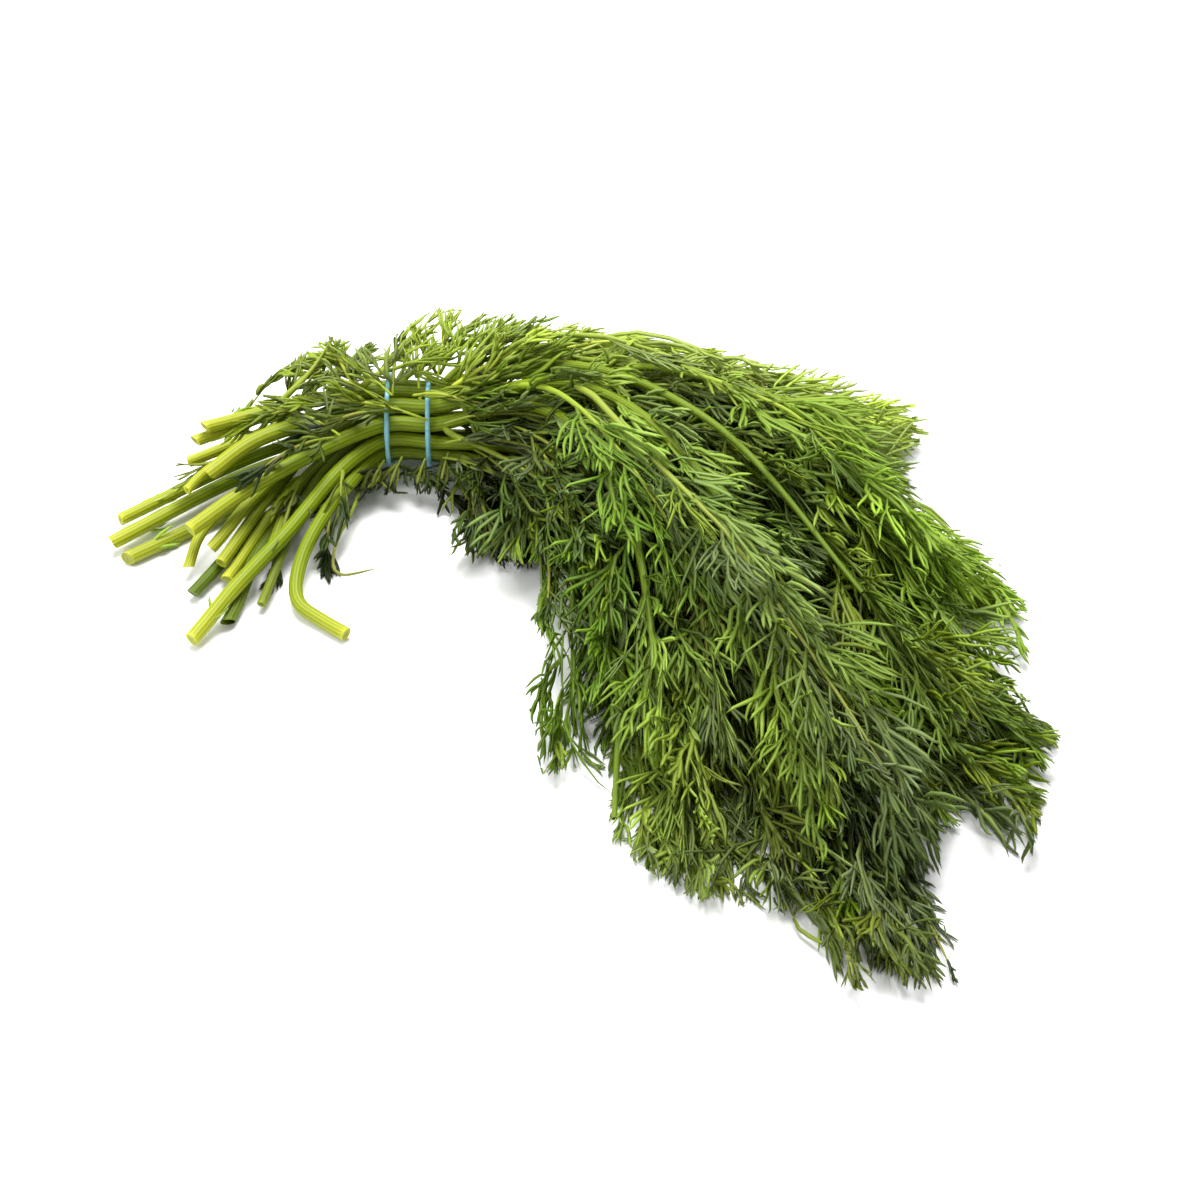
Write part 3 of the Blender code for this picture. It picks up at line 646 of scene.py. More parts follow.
def stalk(stem, axis, outline, draw):
    """One stem without its leaves."""
    short = axis.length - axis.run > SHORT
    thing = drawn_out(stem.name + "_stalk", [(axis.line[short], axis.radii[short])], outline)
    forward = Vector(axis.line[1] - axis.line[0]).normalized()
    lean = Vector((draw.uniform(-1, 1), draw.uniform(-1, 1), draw.uniform(-0.3, 1)))
    slant = (forward + CUT_LEAN * lean).normalized()
    bpy.ops.object.mode_set(mode="EDIT")
    bpy.ops.mesh.select_all(action="SELECT")
    cut = Vector(axis.line[0] * MM) + forward * CUT_IN
    bpy.ops.mesh.bisect(plane_co=cut, plane_no=slant, clear_inner=True, use_fill=True)
    bpy.ops.mesh.inset(thickness=RIND, depth=0.0)
    bpy.ops.mesh.inset(thickness=axis.radii[0] * MM * 0.42, depth=-0.0002)
    bpy.ops.mesh.inset(thickness=axis.radii[0] * MM * 0.2, depth=-0.0003)
    bpy.ops.mesh.poke()
    bpy.ops.object.mode_set(mode="OBJECT")
    return thing


outline = rib_outline()
shape_draw = random.Random(21)
for stem, axis in zip(STEMS, parents):
    thing = stalk(stem, axis, outline, shape_draw)
    settled(thing)
    run, off = nearest_run(axis, places_of(thing))
    dark = DARK_STEMS.get(stem.name, shape_draw.uniform(0, 0.3))
    age = np.clip(run / PALE_LENGTH, 0, 1)[:, None] ** 0.8
    tied = axis.tied()
    past = np.clip((run - tied) / (axis.length - tied) * 1.6 - 0.2, 0, 1)[:, None]
    shade = CUT_PALE * (1 - age) + (STALK * (1 - past) + STALK_DEEP * past) * age
    shade = shade * (1 - dark) + (STALK_DARK * 0.8 + STALK_DEEP * 0.2 * (1 - age)) * dark
    radius = np.interp(run, axis.run, axis.radii)
    inner = np.clip(1 - off / (0.8 * radius), 0, 1)[:, None]
    colour_points(thing, "tint", shade * (1 - inner) + PITH * inner)
    colour_points(thing, "crest", np.clip((off / radius - 1 + RIB_DEPTH) / RIB_DEPTH, 0, 1), "FLOAT")
    thing.data.materials.append(stalk_green.material)
    bpy.ops.object.shade_smooth_by_angle(angle=math.radians(50))
    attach(thing, "root")
    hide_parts(stem.name)
bpy.data.objects.remove(outline)

# --- The leaves -------------------------------------------------------------------------------------------
# A dill leaf is forked three times over, down to soft threads a little over 1 mm wide. Each midrib bears
# pairs of side branches, each of those smaller branches, and these fork into threads that point forwards.

NODE = 14.0  # between pairs of side branches
RUFF = (14, 26)  # from the tie to the first leaves on a stem
PINNA = 46.0  # the length of a side branch, before it varies
THREAD = 1.42  # the width that threads are scaled by: most are some 1.2 mm across at their widest
LOWEST = 0.55  # no thread's middle lies lower
SPRAWL = 3.0  # how far threads may stand out of the heap's back
KNEE = 9.0  # from this far below that, they are pressed down more and more
EYE = np.array((66.0, -750.0, 566.0))  # the place that OUTLINE is seen from, from BASE
STRAY = 1.2  # how far threads may reach out of it
FEATHER = 10.0  # and how far short of it some end
PAINTED_SHADE_DEEP = 0.66  # painted shade: what is left of the colour deep in the heap
PAINTED_LIGHT_ON_TOP = 1.22  # painted light: what the colour is multiplied by on the heap's surface
PAINTED_SHADE_FADE = 11.0  # the depth that takes off two thirds of the difference between painted shade and painted light
WAVE = 0.07  # of its length: how far a thread snakes to its sides
CUTS = 10  # the steps in which a thread that strays is shortened
THINNEST = 0.4  # of a thread's width that is left when nothing is left of its length
SNAKE = 5.2  # how many radians of its wave a thread has
UNDERSIDE = 0.12  # nothing of a thread lies lower
BLOOMING = 0.26  # the share of side branches with bloom
YELLOW = 0.16  # and of those that turn yellow
PLAN_START = 290  # from the origin to the low corner of the heap's plan
CELL = 7  # the width of its squares
CELLS = 90  # in each direction

Shade = namedtuple("Shade", "x y spread colour")
GREENS_WITH_PAINTED_BACKLIGHT = (  # what the leaves' green tends to over the heap, from the tie's middle, with painted light on the fronds where light shines through them
    Shade(-40, 8, 16, paint(120, 140, 50)),
    # painted light: the fronds over and behind the tie are brightened where light shines through them
    Shade(-20, 14, 22, paint(160, 180, 24)),
    Shade(10, 28, 22, paint(172, 190, 30)),
    Shade(-25, -55, 18, paint(52, 70, 18)),
    Shade(2, -30, 14, paint(48, 64, 16)),
    Shade(24, -32, 20, paint(50, 70, 16)),
    Shade(42, -48, 14, paint(70, 90, 26)),
    Shade(30, -2, 20, paint(120, 150, 32)),
    # painted light: the thin fronds at the back are brightened where light shines through them
    Shade(60, 15, 26, paint(196, 212, 58)),
    Shade(120, 8, 32, paint(220, 234, 96)),
    Shade(165, -8, 24, paint(186, 208, 60)),
    Shade(70, -45, 26, paint(118, 146, 56)),
    Shade(110, -60, 26, paint(122, 144, 62)),
    Shade(150, -60, 26, paint(136, 178, 18)),
    Shade(185, -90, 24, paint(146, 184, 16)),
    Shade(75, -100, 24, paint(124, 164, 26)),
    Shade(58, -130, 20, paint(92, 122, 20)),
    Shade(88, -170, 20, paint(160, 186, 56)),
    Shade(125, -130, 22, paint(102, 116, 64)),
    Shade(150, -202, 20, paint(76, 94, 54)),
    Shade(112, -210, 16, paint(94, 106, 56)),
    Shade(165, -140, 24, paint(140, 174, 20)),
    Shade(190, -185, 24, paint(84, 102, 34)),
    Shade(150, -235, 22, paint(104, 116, 38)),
)
SAP = np.array(paint(150, 166, 60))  # the midribs' colour near the stem
BLUSH = np.array(paint(150, 142, 76))  # and at their tips
BLOOM = np.array(paint(136, 146, 108))  # the grey of branches with the most bloom
YELLOWING = np.array(paint(164, 174, 24))
LIT = np.array(paint(178, 196, 100))  # what the lightest greens tend to
LIT_FROM, LIT_OVER, LIT_MOST = 0.34, 0.5, 0.45  # the green it starts from, its range and its largest share

leaf_green = Finish("dill_leaf")
tint = leaf_green.reading("tint")
patches = leaf_green.mottle(0.006)
worn = leaf_green.blend(0.55 * patches, tint, (0.5, 0.62, 0.45, 1), "MULTIPLY")
bright = leaf_green.blend(0.35, worn, (0.6, 0.68, 0.1, 1), "SCREEN")
sheen = leaf_green.node(
    "BsdfPrincipled", {"Base Color": worn, "Roughness": 0.4 + 0.2 * patches, "Specular IOR Level": 0.4}
)
glow = leaf_green.node("BsdfTranslucent", {"Color": bright})
both = leaf_green.node("MixShader", {0: 0.3, 1: sheen, 2: glow})
leaf_green.node("OutputMaterial", {"Surface": both})


def thread_pattern():
    """One thread, modelled 1 unit long: three-sided, widest halfway, and drawn out to a point."""
    deselect()
    bpy.ops.mesh.primitive_circle_add(vertices=3, radius=0.5, fill_type="NGON", rotation=(0, 0, math.pi / 6))
    pattern = finished(bpy.context.object, "thread_pattern")
    bpy.ops.object.transform_apply(rotation=True)
    bpy.ops.object.mode_set(mode="EDIT")
    bpy.ops.mesh.select_all(action="SELECT")
    bpy.ops.transform.resize(value=(0.8, 0.5, 1))
    for rise, swell in ((0.27, 1.35), (0.27, 1.05), (0.26, 0.72)):
        bpy.ops.mesh.extrude_region_move(TRANSFORM_OT_translate={"value": (0, 0, rise)})
        bpy.ops.transform.resize(value=(swell, swell, 1))
    bpy.ops.mesh.extrude_region_move(TRANSFORM_OT_translate={"value": (0, 0, 0.2)})
    bpy.ops.mesh.merge(type="CENTER")
    bpy.ops.mesh.select_all(action="SELECT")
    bpy.ops.mesh.quads_convert_to_tris()
    bpy.ops.mesh.normals_make_consistent(inside=False)
    bpy.ops.object.mode_set(mode="OBJECT")
    corners = np.array([v.co for v in pattern.data.vertices])
    faces = np.array([p.vertices for p in pattern.data.polygons])
    bpy.data.objects.remove(pattern)
    return corners, faces


def seen_inside(places, stray):
    """Which places look to be within the bunch's outline, or at most so far out of it."""
    nearer = EYE[2] / (EYE[2] - places[..., 2:3])
    spots = (EYE + (places - BASE - EYE) * nearer)[..., :2]
    edge = np.array(OUTLINE)
    inner, near = np.zeros(spots.shape[:-1], bool), np.full(spots.shape[:-1], FAR)
    for first, second in zip(edge, np.roll(edge, -1, axis=0)):
        cuts = (first[1] > spots[..., 1]) != (second[1] > spots[..., 1])
        lift = (spots[..., 1] - first[1]) / (second[1] - first[1] + TINY)
        inner ^= cuts & (spots[..., 0] < first[0] + lift * (second[0] - first[0]))
        run = second - first
        share = np.clip(((spots - first) @ run) / (run @ run), 0, 1)
        near = np.minimum(near, np.linalg.norm(spots - first - share[..., None] * run, axis=-1))
    return np.where(inner, near, -near) > -stray


def copies(name, corners, faces):
    """One mesh of many copies of a pattern, given the corners of each."""
    count, size = corners.shape[:2]
    all_faces = (faces[None] + (np.arange(count) * size)[:, None, None]).reshape(-1, 3)
    mesh = bpy.data.meshes.new(name)
    mesh.vertices.add(count * size)
    mesh.vertices.foreach_set("co", (corners * MM).astype(np.float32).ravel())
    mesh.loops.add(all_faces.size)
    mesh.loops.foreach_set("vertex_index", all_faces.astype(np.int32).ravel())
    mesh.polygons.add(len(all_faces))
    mesh.polygons.foreach_set("loop_start", np.arange(0, all_faces.size, 3, dtype=np.int32))
    mesh.update(calc_edges=True)
    thing = bpy.data.objects.new(name, mesh)
    bpy.context.scene.collection.objects.link(thing)
    return thing


class Foliage:
    """The threads and small stalks of one leafy stem, as rows of numbers."""

    def __init__(self, seed):
        self.rows = []
        self.draw = random.Random(seed)

    def add(self, root, way, bend, flat, width, tint, stray):
        wave = self.draw.uniform(-WAVE, WAVE) * way.length
        self.rows.append((*root, *way, *bend, *flat, width, *tint, stray, wave))

    def mesh(self, name, pattern, faces, heights):
        """Copies the pattern along every thread."""
        rows = np.array(self.rows)
        root, way, bend, flat = (rows[:, None, k : k + 3] for k in (0, 3, 6, 9))
        width, tint = rows[:, None, 12:13], rows[:, None, 13:16]
        stray, wave = rows[:, 16:17], rows[:, None, 17:18]
        kept = seen_inside(root, stray)[:, 0]
        stray, wave = stray[kept], wave[kept]
        root, way, bend, flat, width, tint = (part[kept] for part in (root, way, bend, flat, width, tint))
        share = np.full(root.shape[:2] + (1,), 1.0)
        for _ in range(CUTS):
            out = ~seen_inside(root + way * share + bend * share**2, stray)
            share = np.where(out[..., None], share - 1 / CUTS, share)
        way, bend, width = way * share, bend * share**2, width * (THINNEST + (1 - THINNEST) * share)
        u = pattern[None, :, 2:3]
        snake = np.cross(flat, way)
        snake *= wave * share / np.maximum(np.linalg.norm(snake, axis=2, keepdims=True), 1e-6)
        middle = root + way * u + bend * u * u + snake * np.sin(SNAKE * u)
        limit = roof(middle) + SPRAWL - KNEE
        above = np.maximum(middle[..., 2] - limit, 0)
        middle[..., 2] = np.minimum(middle[..., 2], limit) + KNEE * (1 - np.exp(-above / KNEE))
        middle[..., 2] = np.maximum(middle[..., 2], LOWEST)
        along = way + 2 * bend * u
        along /= np.linalg.norm(along, axis=2, keepdims=True)
        across = np.cross(flat, along)
        across /= np.maximum(np.linalg.norm(across, axis=2, keepdims=True), 1e-6)
        face = np.cross(along, across)
        corners = middle + width * (across * pattern[None, :, 0:1] + face * pattern[None, :, 1:2])
        corners[..., 2] = np.maximum(corners[..., 2], UNDERSIDE)
        # painted shade and painted light: a thread is darker the deeper it lies under the heap's top and
        # lighter on top; threads are also a little lighter towards their tips
        depth = np.maximum(heights[cells(middle)] - middle[..., 2], 0)[..., None]
        shade = tint * (0.86 + 0.26 * u) * (PAINTED_SHADE_DEEP + (PAINTED_LIGHT_ON_TOP - PAINTED_SHADE_DEEP) * np.exp(-depth / PAINTED_SHADE_FADE))
        lit = np.clip((shade[..., 1:2] - LIT_FROM) / LIT_OVER, 0, LIT_MOST)
        shade = shade * (1 - lit) + LIT * lit
        thing = copies(name, corners, faces)
        colour_points(thing, "tint", np.clip(shade.reshape(-1, 3), 0, 1))
        return thing


def cells(places):
    """The square of the heap's plan that each place is in."""
    return tuple(np.clip((places[..., k] + PLAN_START) // CELL, 0, CELLS - 1).astype(int) for k in (0, 1))


def closeness(place):
    """How much each shade counts at a place."""
    x, y = place[0] - TIE[0], place[1] - TIE[1]
    return [math.exp(-((x - s.x) ** 2 + (y - s.y) ** 2) / (2 * s.spread**2)) + 1e-6 for s in GREENS_WITH_PAINTED_BACKLIGHT]


def leaf_shade(place, draw):
    """A green for a leaf that ends at a place."""
    return np.array(draw.choices(GREENS_WITH_PAINTED_BACKLIGHT, closeness(place))[0].colour) * draw.uniform(0.85, 1.3)


def local_shade(place):
    """The mean green about a place."""
    return np.average([s.colour for s in GREENS_WITH_PAINTED_BACKLIGHT], axis=0, weights=closeness(place))


def unit(v):
    return v.normalized()


def tossed(draw, most):
    return Vector((draw.uniform(-most, most), draw.uniform(-most, most), draw.uniform(-most, most)))


def pinnule(foliage, root, way, flow, flat, long, width, tint, stray, draw):
    """A small branch that bends round to run with the flow, and forks into threads."""
    bend = ((flow - way) * draw.uniform(0.3, 0.9) + tossed(draw, 0.22)) * long
    chord = way * long
    foliage.add(root, chord, bend, flat, width, tint, stray)
    hand = draw.choice((-1, 1))
    forks = draw.choice((1, 2)) if long < 14 else draw.choice((2, 3))
    for turn in range(forks):
        t = 0.14 + 0.5 * turn / forks + draw.uniform(-0.05, 0.08)
        hand = -hand
        place = root + chord * t + bend * (t * t)
        along = unit(chord + bend * (2 * t))
        side = flat.cross(along) * hand
        spread = math.radians(draw.uniform(16, 32))
        out = unit(along * math.cos(spread) + side * math.sin(spread) + tossed(draw, 0.08))
        size = long * (1 - t) * draw.uniform(0.62, 0.95) + 1.5
        curl = ((along - out) * draw.uniform(0.2, 0.9) + tossed(draw, 0.16)) * size
        foliage.add(place, out * size, curl, flat, width * 0.9, tint, stray)


def pinna(foliage, root, forward, out, long, tint, light, draw):
    """A side branch of a leaf, with smaller branches to both sides."""
    stray = STRAY - FEATHER * draw.random() ** 2
    opening = math.radians(draw.uniform(20, 46))
    way = unit(forward * math.cos(opening) + out * math.sin(opening))
    flat = forward.cross(out)
    roll = draw.gauss(0, 0.5)
    flat = unit(flat * math.cos(roll) + flat.cross(way) * math.sin(roll))
    bend = ((forward - way) * draw.uniform(0.5, 1.0) + Vector((0, 0, -0.1)) + tossed(draw, 0.14)) * long
    green = (tint * 0.36 + local_shade(root + way * long * 0.7) * 0.8 * light) * draw.uniform(0.72, 1.28)
    kind = draw.random()
    if kind < BLOOMING:
        green = green * 0.55 + BLOOM * 0.4
    elif kind > 1 - YELLOW:
        green = green * 0.6 + YELLOWING * 0.35
    foliage.add(root, way * long, bend, flat, THREAD * 1.2, green * 0.6 + SAP * 0.4, stray)
    number = max(2, round(long / 7))
    hand = draw.choice((-1, 1))
    for turn in range(number):
        t = 0.1 + 0.7 * turn / number + draw.uniform(-0.04, 0.04)
        hand = -hand
        place = root + way * (long * t) + bend * (t * t)
        along = unit(way * long + bend * (2 * t))
        side = flat.cross(along) * hand
        spread = math.radians(draw.uniform(18, 42))
        turned = unit(along * math.cos(spread) + side * math.sin(spread) + tossed(draw, 0.14))
        size = (long * (0.5 * (1 - t)) + 9.0) * draw.uniform(0.75, 1.25)
        own = unit(flat + tossed(draw, 0.5))
        own = unit(own - turned * own.dot(turned))
        width = THREAD * draw.uniform(0.72, 1.25)
        shade = green * draw.uniform(0.85, 1.15)
        pinnule(foliage, place, turned, along, own, size, width, shade, stray, draw)


def is_curl(axis):
    """Whether a leaf is the bare tendril that curls under the cut stems."""
    return np.linalg.norm(axis.line[-1] - BASE - CURL.tip) < 8


def shown_points(axis):
    """How many of an axis' points come before it leaves the outline."""
    beyond = np.flatnonzero(~seen_inside(axis.line, -2.0))
    return max(4, beyond[0]) if len(beyond) else len(axis.line)


def leaf(foliage, axis, bare, full, longest, tint, draw, light=1):
    """All that grows on a midrib or a stem, from bare to its end: smaller and further apart up to full."""
    roll = draw.uniform(-0.5, 0.5)
    end = axis.run[shown_points(axis) - 1]
    s, turn = bare, 0
    while s < end - 3:
        share = max(0, (s - full) / max(1, axis.length - full))
        forward, level, up = (Vector(v) for v in axis.frame(s))
        spin = roll + (turn % 2) * math.pi / 2 + draw.gauss(0, 0.3)
        profile = 0.62 + 0.5 * math.sin(math.pi * (0.2 + 0.62 * share)) - 0.42 * share
        profile *= 1 if s >= full else 0.68
        for half in (0, math.pi):
            out = level * math.cos(spin + half) + up * math.sin(spin + half)
            size = longest * profile * draw.uniform(0.7, 1.15)
            root = Vector(axis.at(s)) + out * axis.radius(s) * 0.5
            pinna(foliage, root, forward, out, size, tint, light, draw)
        s += NODE * (1 - 0.35 * share) * draw.uniform(0.8, 1.2) * (1 if s >= full else 1.15)
        turn += 1
    forward, level, up = (Vector(v) for v in axis.frame(end))
    for _ in range(4):
        flat = unit(level * draw.uniform(-1, 1) + up)
        way = unit(forward + tossed(draw, 0.25))
        stray = STRAY - FEATHER * draw.random() ** 2
        root = Vector(axis.at(end - 3))
        pinnule(foliage, root, way, forward, flat, draw.uniform(11, 18), THREAD, tint, stray, draw)


def midrib(root, axis, first):
    """Points and radii of a leaf's stalk, from inside its stem to the outline, drawn out to a point."""
    radii = np.interp(axis.run / axis.length, (0, 0.15, 0.5, 1), (first, 0.85 * first, 0.7, 0.4))
    ends = shown_points(axis)
    if is_curl(axis):
        ends, radii = len(axis.line), np.maximum(0.75 * radii, 0.55)
    radii = np.minimum(radii[:ends], 0.12 + 0.3 * np.arange(ends)[::-1])
    return np.vstack((root, axis.line[:ends])), np.append(0.6 * first, radii)


Spray = namedtuple("Spray", "root tip longest dark")
SPRAYS = (  # small leaves that lie over the tied stems, from the tie's middle, with heights from the surface; dark is the painted shade of those that lie low under the tie and among the stems
    Spray((-5, -7, 33), (-4, 13, 44), 16, 0),
    Spray((4, -4, 34), (2, 14, 45), 15, 0.2),
    Spray((10, -2, 34), (13, 15, 46), 18, 0),
    Spray((18, -1, 35), (37, 10, 46), 20, 0),
    Spray((26, 0, 35), (52, 8, 45), 20, 0),
    Spray((-10, -8, 33), (-37, 3, 35), 11, 0.1),
    Spray((-5, -8, 34), (-28, 6, 40), 14, 0),
    Spray((-17, -7, 33), (-27, 9, 42), 12, 0.2),
    Spray((7, -14, 28), (-43, -10, 31), 10, 0.5),
    Spray((-22, -23, 28), (-42, -13, 31), 10, 0.4),
    Spray((-24, -24, 28), (-47, -42, 28), 9, 0.5),
    Spray((12, -10, 33), (50, -11, 40), 20, 0.1),
    Spray((13, -16, 28), (55, -28, 37), 22, 0.2),
    Spray((13, -19, 22), (50, -37, 30), 22, 0.3),
    Spray((12, -18, 15), (45, -48, 17), 20, 0.8),
    Spray((15, -6, 34), (66, -1, 44), 22, 0),
    Spray((23, -20, 20), (50, -56, 14), 20, 0.7),
    Spray((20, -19, 12), (31, -57, 6), 18, 1),
    Spray((-2, -17, 9), (15, -27, 5), 13, 1),
    Spray((-6, -17, 8), (-24, -26, 5), 12, 1),
    Spray((37, -8, 36), (76, -35, 43), 24, 0.1),
    Spray((30, -18, 30), (63, -56, 34), 24, 0.3),
    Spray((50, -2, 40), (93, -29, 46), 24, 0),
    Spray((60, -22, 40), (80, -82, 38), 24, 0.4),
    Spray((43, -28, 30), (60, -80, 28), 24, 0.5),
    Spray((-14, -10, 31), (-52, -18, 30), 9, 0.3),
    Spray((-8, 2, 34), (-40, 8, 35), 13, 0),
    Spray((-4, -12, 30), (-30, -22, 30), 14, 0.6),
    Spray((6, -17, 14), (2, -26, 4), 13, 1),
    Spray((14, -16, 16), (10, -30, 3), 13, 1),
    Spray((-2, -16, 14), (-8, -29, 3), 13, 1),
    Spray((20, -17, 14), (24, -34, 3), 15, 1),
    Spray((26, -17, 16), (34, -38, 4), 15, 0.9),
    Spray((-8, -18, 14), (-16, -34, 3), 12, 1),
    Spray((-36, -30, 14), (-42, -60, 4), 10, 0.4),
    Spray((-24, -34, 12), (-26, -57, 4), 12, 0.35),
    Spray((190, -175, 7), (206, -226, 4), 17, 0.4),
    Spray((183, -165, 7), (198, -205, 4), 18, 0.4),
    Spray((132, -222, 6), (139, -260, 4), 15, 0.2),
    Spray((-12, -20, 12), (-18, -30, 4), 12, 1),
    Spray((2, -8, 34), (22, -14, 35), 13, 0.5),
    Spray((55, -8, 42), (98, -22, 46), 26, 0),
    Spray((62, -30, 42), (92, -62, 42), 26, 0.2),
    Spray((78, -6, 44), (125, -18, 44), 26, 0),
    Spray((70, 5, 42), (118, 6, 44), 24, 0),
    Spray((80, -42, 42), (102, -88, 38), 26, 0.1),
    Spray((50, -45, 34), (62, -92, 28), 24, 0.4),
    Spray((60, -70, 30), (66, -120, 22), 24, 0.3),
    Spray((85, -15, 46), (130, -48, 44), 26, 0),
    Spray((100, -40, 44), (140, -80, 38), 26, 0.1),
    Spray((40, 5, 38), (84, 8, 44), 22, 0),
)
CURL = next(sprig for sprig in SPRIGS if len(sprig.via) == 3)
SPRAY_PAINTED_SHADE = 0.65  # painted shade: the share of its light that the darkest of the sprays loses


def spray_line(spray):
    """A spray's midrib, which bows upwards a little."""
    first, last = BASE + spray.root, BASE + spray.tip
    share = np.linspace(0, 1, 12)[:, None]
    bow = np.array((0, 0, 0.1 * np.linalg.norm(last - first)))
    line = first * (1 - share) + last * share + bow * 4 * share * (1 - share)
    return Axis(line, np.linspace(0.75, 0.4, 12))


pattern, pattern_faces = thread_pattern()
leaf_draw = random.Random(31)
all_foliage = []
for stem, axis, leaves in zip(STEMS, parents, grown):
    foliage = Foliage(stem.name)
    ribs = []
    for s, side, own in leaves:
        tint = leaf_shade(own.at(own.length * 0.6), leaf_draw)
        bare = own.length * (0.33 if own.length > 70 else 0.22)
        if not is_curl(own):
            before = own.line[-1][0] - TIE[0]
            longest = np.interp(before, (-35, -10, 10), (10, 15, min(PINNA, 14 + 0.3 * own.length)))
            leaf(foliage, own, bare, bare, longest, tint, leaf_draw)
        ribs.append((axis.at(s), own, tint, 1.3))
    tied = axis.tied()
    start = max([tied + (axis.length - tied) * FROND_FROM, *[s + 8 for s, _, _ in leaves]])
    tint = leaf_shade(axis.at(axis.length - 20), leaf_draw)
    leaf(foliage, axis, tied + leaf_draw.uniform(*RUFF), start, PINNA, tint, leaf_draw)
    all_foliage.append((stem.name, foliage, ribs))
foliage, ribs = Foliage("loose"), []
for spray in SPRAYS:
    own = spray_line(spray)
    # painted shade, deepest for the sprays that lie low under the tie and among the stems
    light = 1 - SPRAY_PAINTED_SHADE * spray.dark
    tint = leaf_shade(own.at(own.length * 0.5), leaf_draw) * light
    leaf(foliage, own, own.length * 0.18, 0, spray.longest, tint, leaf_draw, light)
    ribs.append((own.line[0], own, tint, 0.5))
all_foliage.append(("loose", foliage, ribs))

# the heap's top in each square of its plan, which the painted shade deep in the heap is measured from
heights = np.zeros((CELLS, CELLS))
for _, foliage, _ in all_foliage:
    rows = np.array(foliage.rows)
    ends = rows[:, :3] + rows[:, 3:6] + rows[:, 6:9]
    for places in (rows[:, :3], (rows[:, :3] + ends) / 2, ends):
        shown = places[seen_inside(places, 0)]
        np.maximum.at(heights, cells(shown), np.minimum(shown[:, 2], CROWN))

for name, foliage, ribs in all_foliage:
    green = foliage.mesh(name + "_leaves", pattern, pattern_faces, heights)
    green.data.materials.append(leaf_green.material)
    finished(green, name + "_leaves")
    bpy.ops.object.shade_smooth()
    runs = [midrib(root, own, first) for root, own, _, first in ribs]
    stalks = drawn_out(name + "_midribs", runs, bevel=1, kind="NURBS")
    where = places_of(stalks)
    shades, best = np.zeros((len(where), 3)), np.full(len(where), FAR)
    for _, own, tint, _ in ribs:
        run, off = nearest_run(own, where)
        share = np.clip(run / own.length, 0, 1)[:, None]
        colour = (SAP * (1 - share) + BLUSH * share) * 0.6 + tint * 0.4
        near = off < best
        shades[near], best[near] = colour[near], off[near]
    colour_points(stalks, "tint", shades)
    colour_points(stalks, "crest", np.full(len(where), 0.5), "FLOAT")
    stalks.data.materials.append(stalk_green.material)
    bpy.ops.object.shade_smooth()
    settled(stalks)
    for piece in (green, stalks):
        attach(piece, "root")
        if name != "loose":
            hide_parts(name)

# --- The elastic ------------------------------------------------------------------------------------------
# A thin blue rubber elastic, 1.5 to 1.9 mm thick, goes twice round the bunch. Its two strands lie 14 mm apart
# over the front and pass each other at the back.

RUBBER = np.array(paint(128, 198, 214))
RUBBER_DEEP = paint(70, 150, 170)
FULLER = 1.2  # its mean thickness here, as a share of the solid's

rubber = Finish("blue_rubber")
grain = rubber.mottle(0.0009, 4.0)
streak = rubber.mottle(0.004)
worn = rubber.blend(grain, (*RUBBER, 1), (*RUBBER_DEEP, 1))
faded = rubber.blend(0.3 * streak, worn, (0.7, 0.9, 0.92, 1))
dents = rubber.node("Bump", {"Strength": 0.5, "Distance": 0.0002, "Height": grain})
skin = rubber.node(
    "BsdfPrincipled", {"Base Color": faded, "Roughness": 0.42 + 0.25 * grain, "Normal": dents}
)
rubber.node("OutputMaterial", {"Surface": skin})

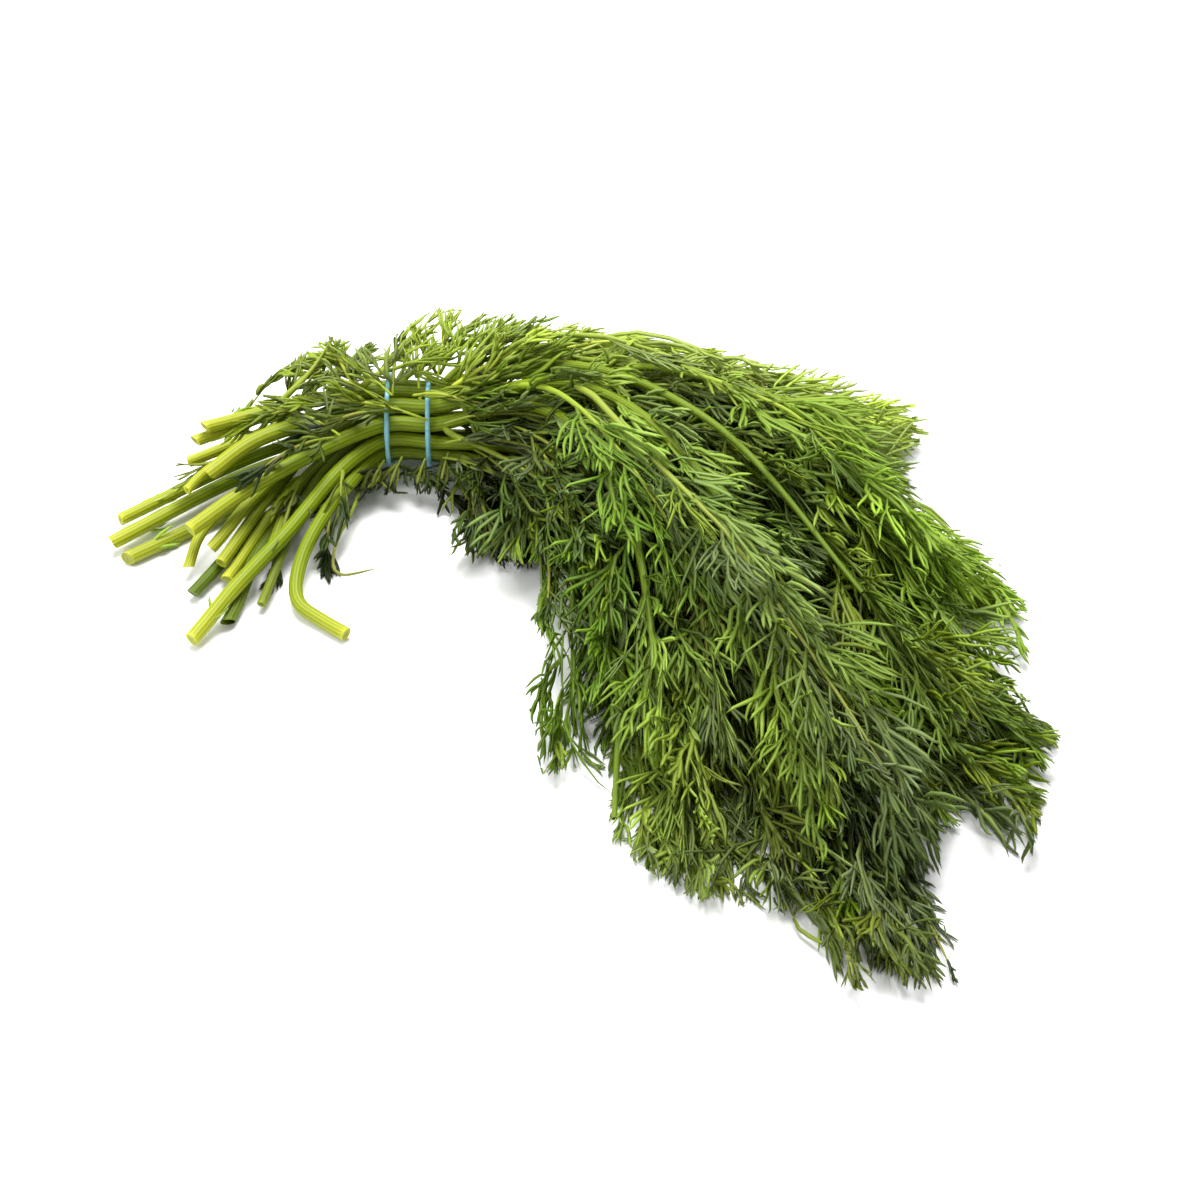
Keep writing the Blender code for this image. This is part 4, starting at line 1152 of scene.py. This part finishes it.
loop = []
for spot, following in zip(round_tie, np.roll(round_tie, -1, axis=0)):
    loop += [spot, spot * 0.65 + following * 0.35]
loop.append(loop[0])
thickness = [
    STRAND * (FULLER + 0.08 * math.sin(9 * k / 10) + 0.06 * math.sin(k / 3.1)) for k in range(len(loop))
]
thickness[-1] = thickness[0]
elastic = drawn_out("elastic_strands", [(loop, thickness)], bevel=2)
bpy.ops.object.mode_set(mode="EDIT")
bpy.ops.mesh.select_all(action="SELECT")
bpy.ops.mesh.remove_doubles(threshold=0.00002)
bpy.ops.mesh.normals_make_consistent(inside=False)
bpy.ops.object.mode_set(mode="OBJECT")
elastic.data.materials.append(rubber.material)
bpy.ops.object.shade_smooth()
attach(elastic, "root")
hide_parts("elastic")

# --- The room ---------------------------------------------------------------------------------------------
# A white floor, soft light from above and behind, and a camera that looks down at the bunch.

bpy.context.scene.view_settings.view_transform = "Standard"
white = Finish("white_floor")
matt = white.node("BsdfPrincipled", {"Base Color": (0.92, 0.92, 0.92, 1), "Roughness": 0.9})
white.node("OutputMaterial", {"Surface": matt})
deselect()
bpy.ops.mesh.primitive_plane_add(size=12, location=(0.1, 0, -0.0003))
floor = finished(bpy.context.object, "floor")
floor.data.materials.append(white.material)

world = bpy.data.worlds.new("soft_white")
world.use_nodes = True
world.node_tree.nodes["Background"].inputs["Color"].default_value = (1, 1, 1, 1)
world.node_tree.nodes["Background"].inputs["Strength"].default_value = 0.62
bpy.context.scene.world = world

MIDDLE = Vector((0.104, -0.061, 0.0))
Lamp = namedtuple("Lamp", "name place size watts")
for lamp in (
    Lamp("softbox_above", (-0.05, 0.35, 1.15), 0.7, 24),
    Lamp("softbox_left", (-0.95, -0.25, 0.75), 0.6, 6),
):
    bpy.ops.object.light_add(type="AREA", location=MIDDLE + Vector(lamp.place))
    box = bpy.context.object
    box.name, box.data.size, box.data.energy = lamp.name, lamp.size, lamp.watts
    box.rotation_euler = (MIDDLE - box.location).to_track_quat("-Z", "Y").to_euler()

HEIGHT = math.radians(40)  # the camera's angle above the floor
AWAY = 0.88
TARGET = Vector((0.103934, -0.061041, 0))
back = Vector((0, -math.cos(HEIGHT), math.sin(HEIGHT)))
bpy.ops.object.camera_add(location=TARGET + back * AWAY, rotation=(-back).to_track_quat("-Z", "Y").to_euler())
camera = bpy.context.object
camera.data.lens, camera.data.sensor_width = 80, 36
bpy.context.scene.camera = camera
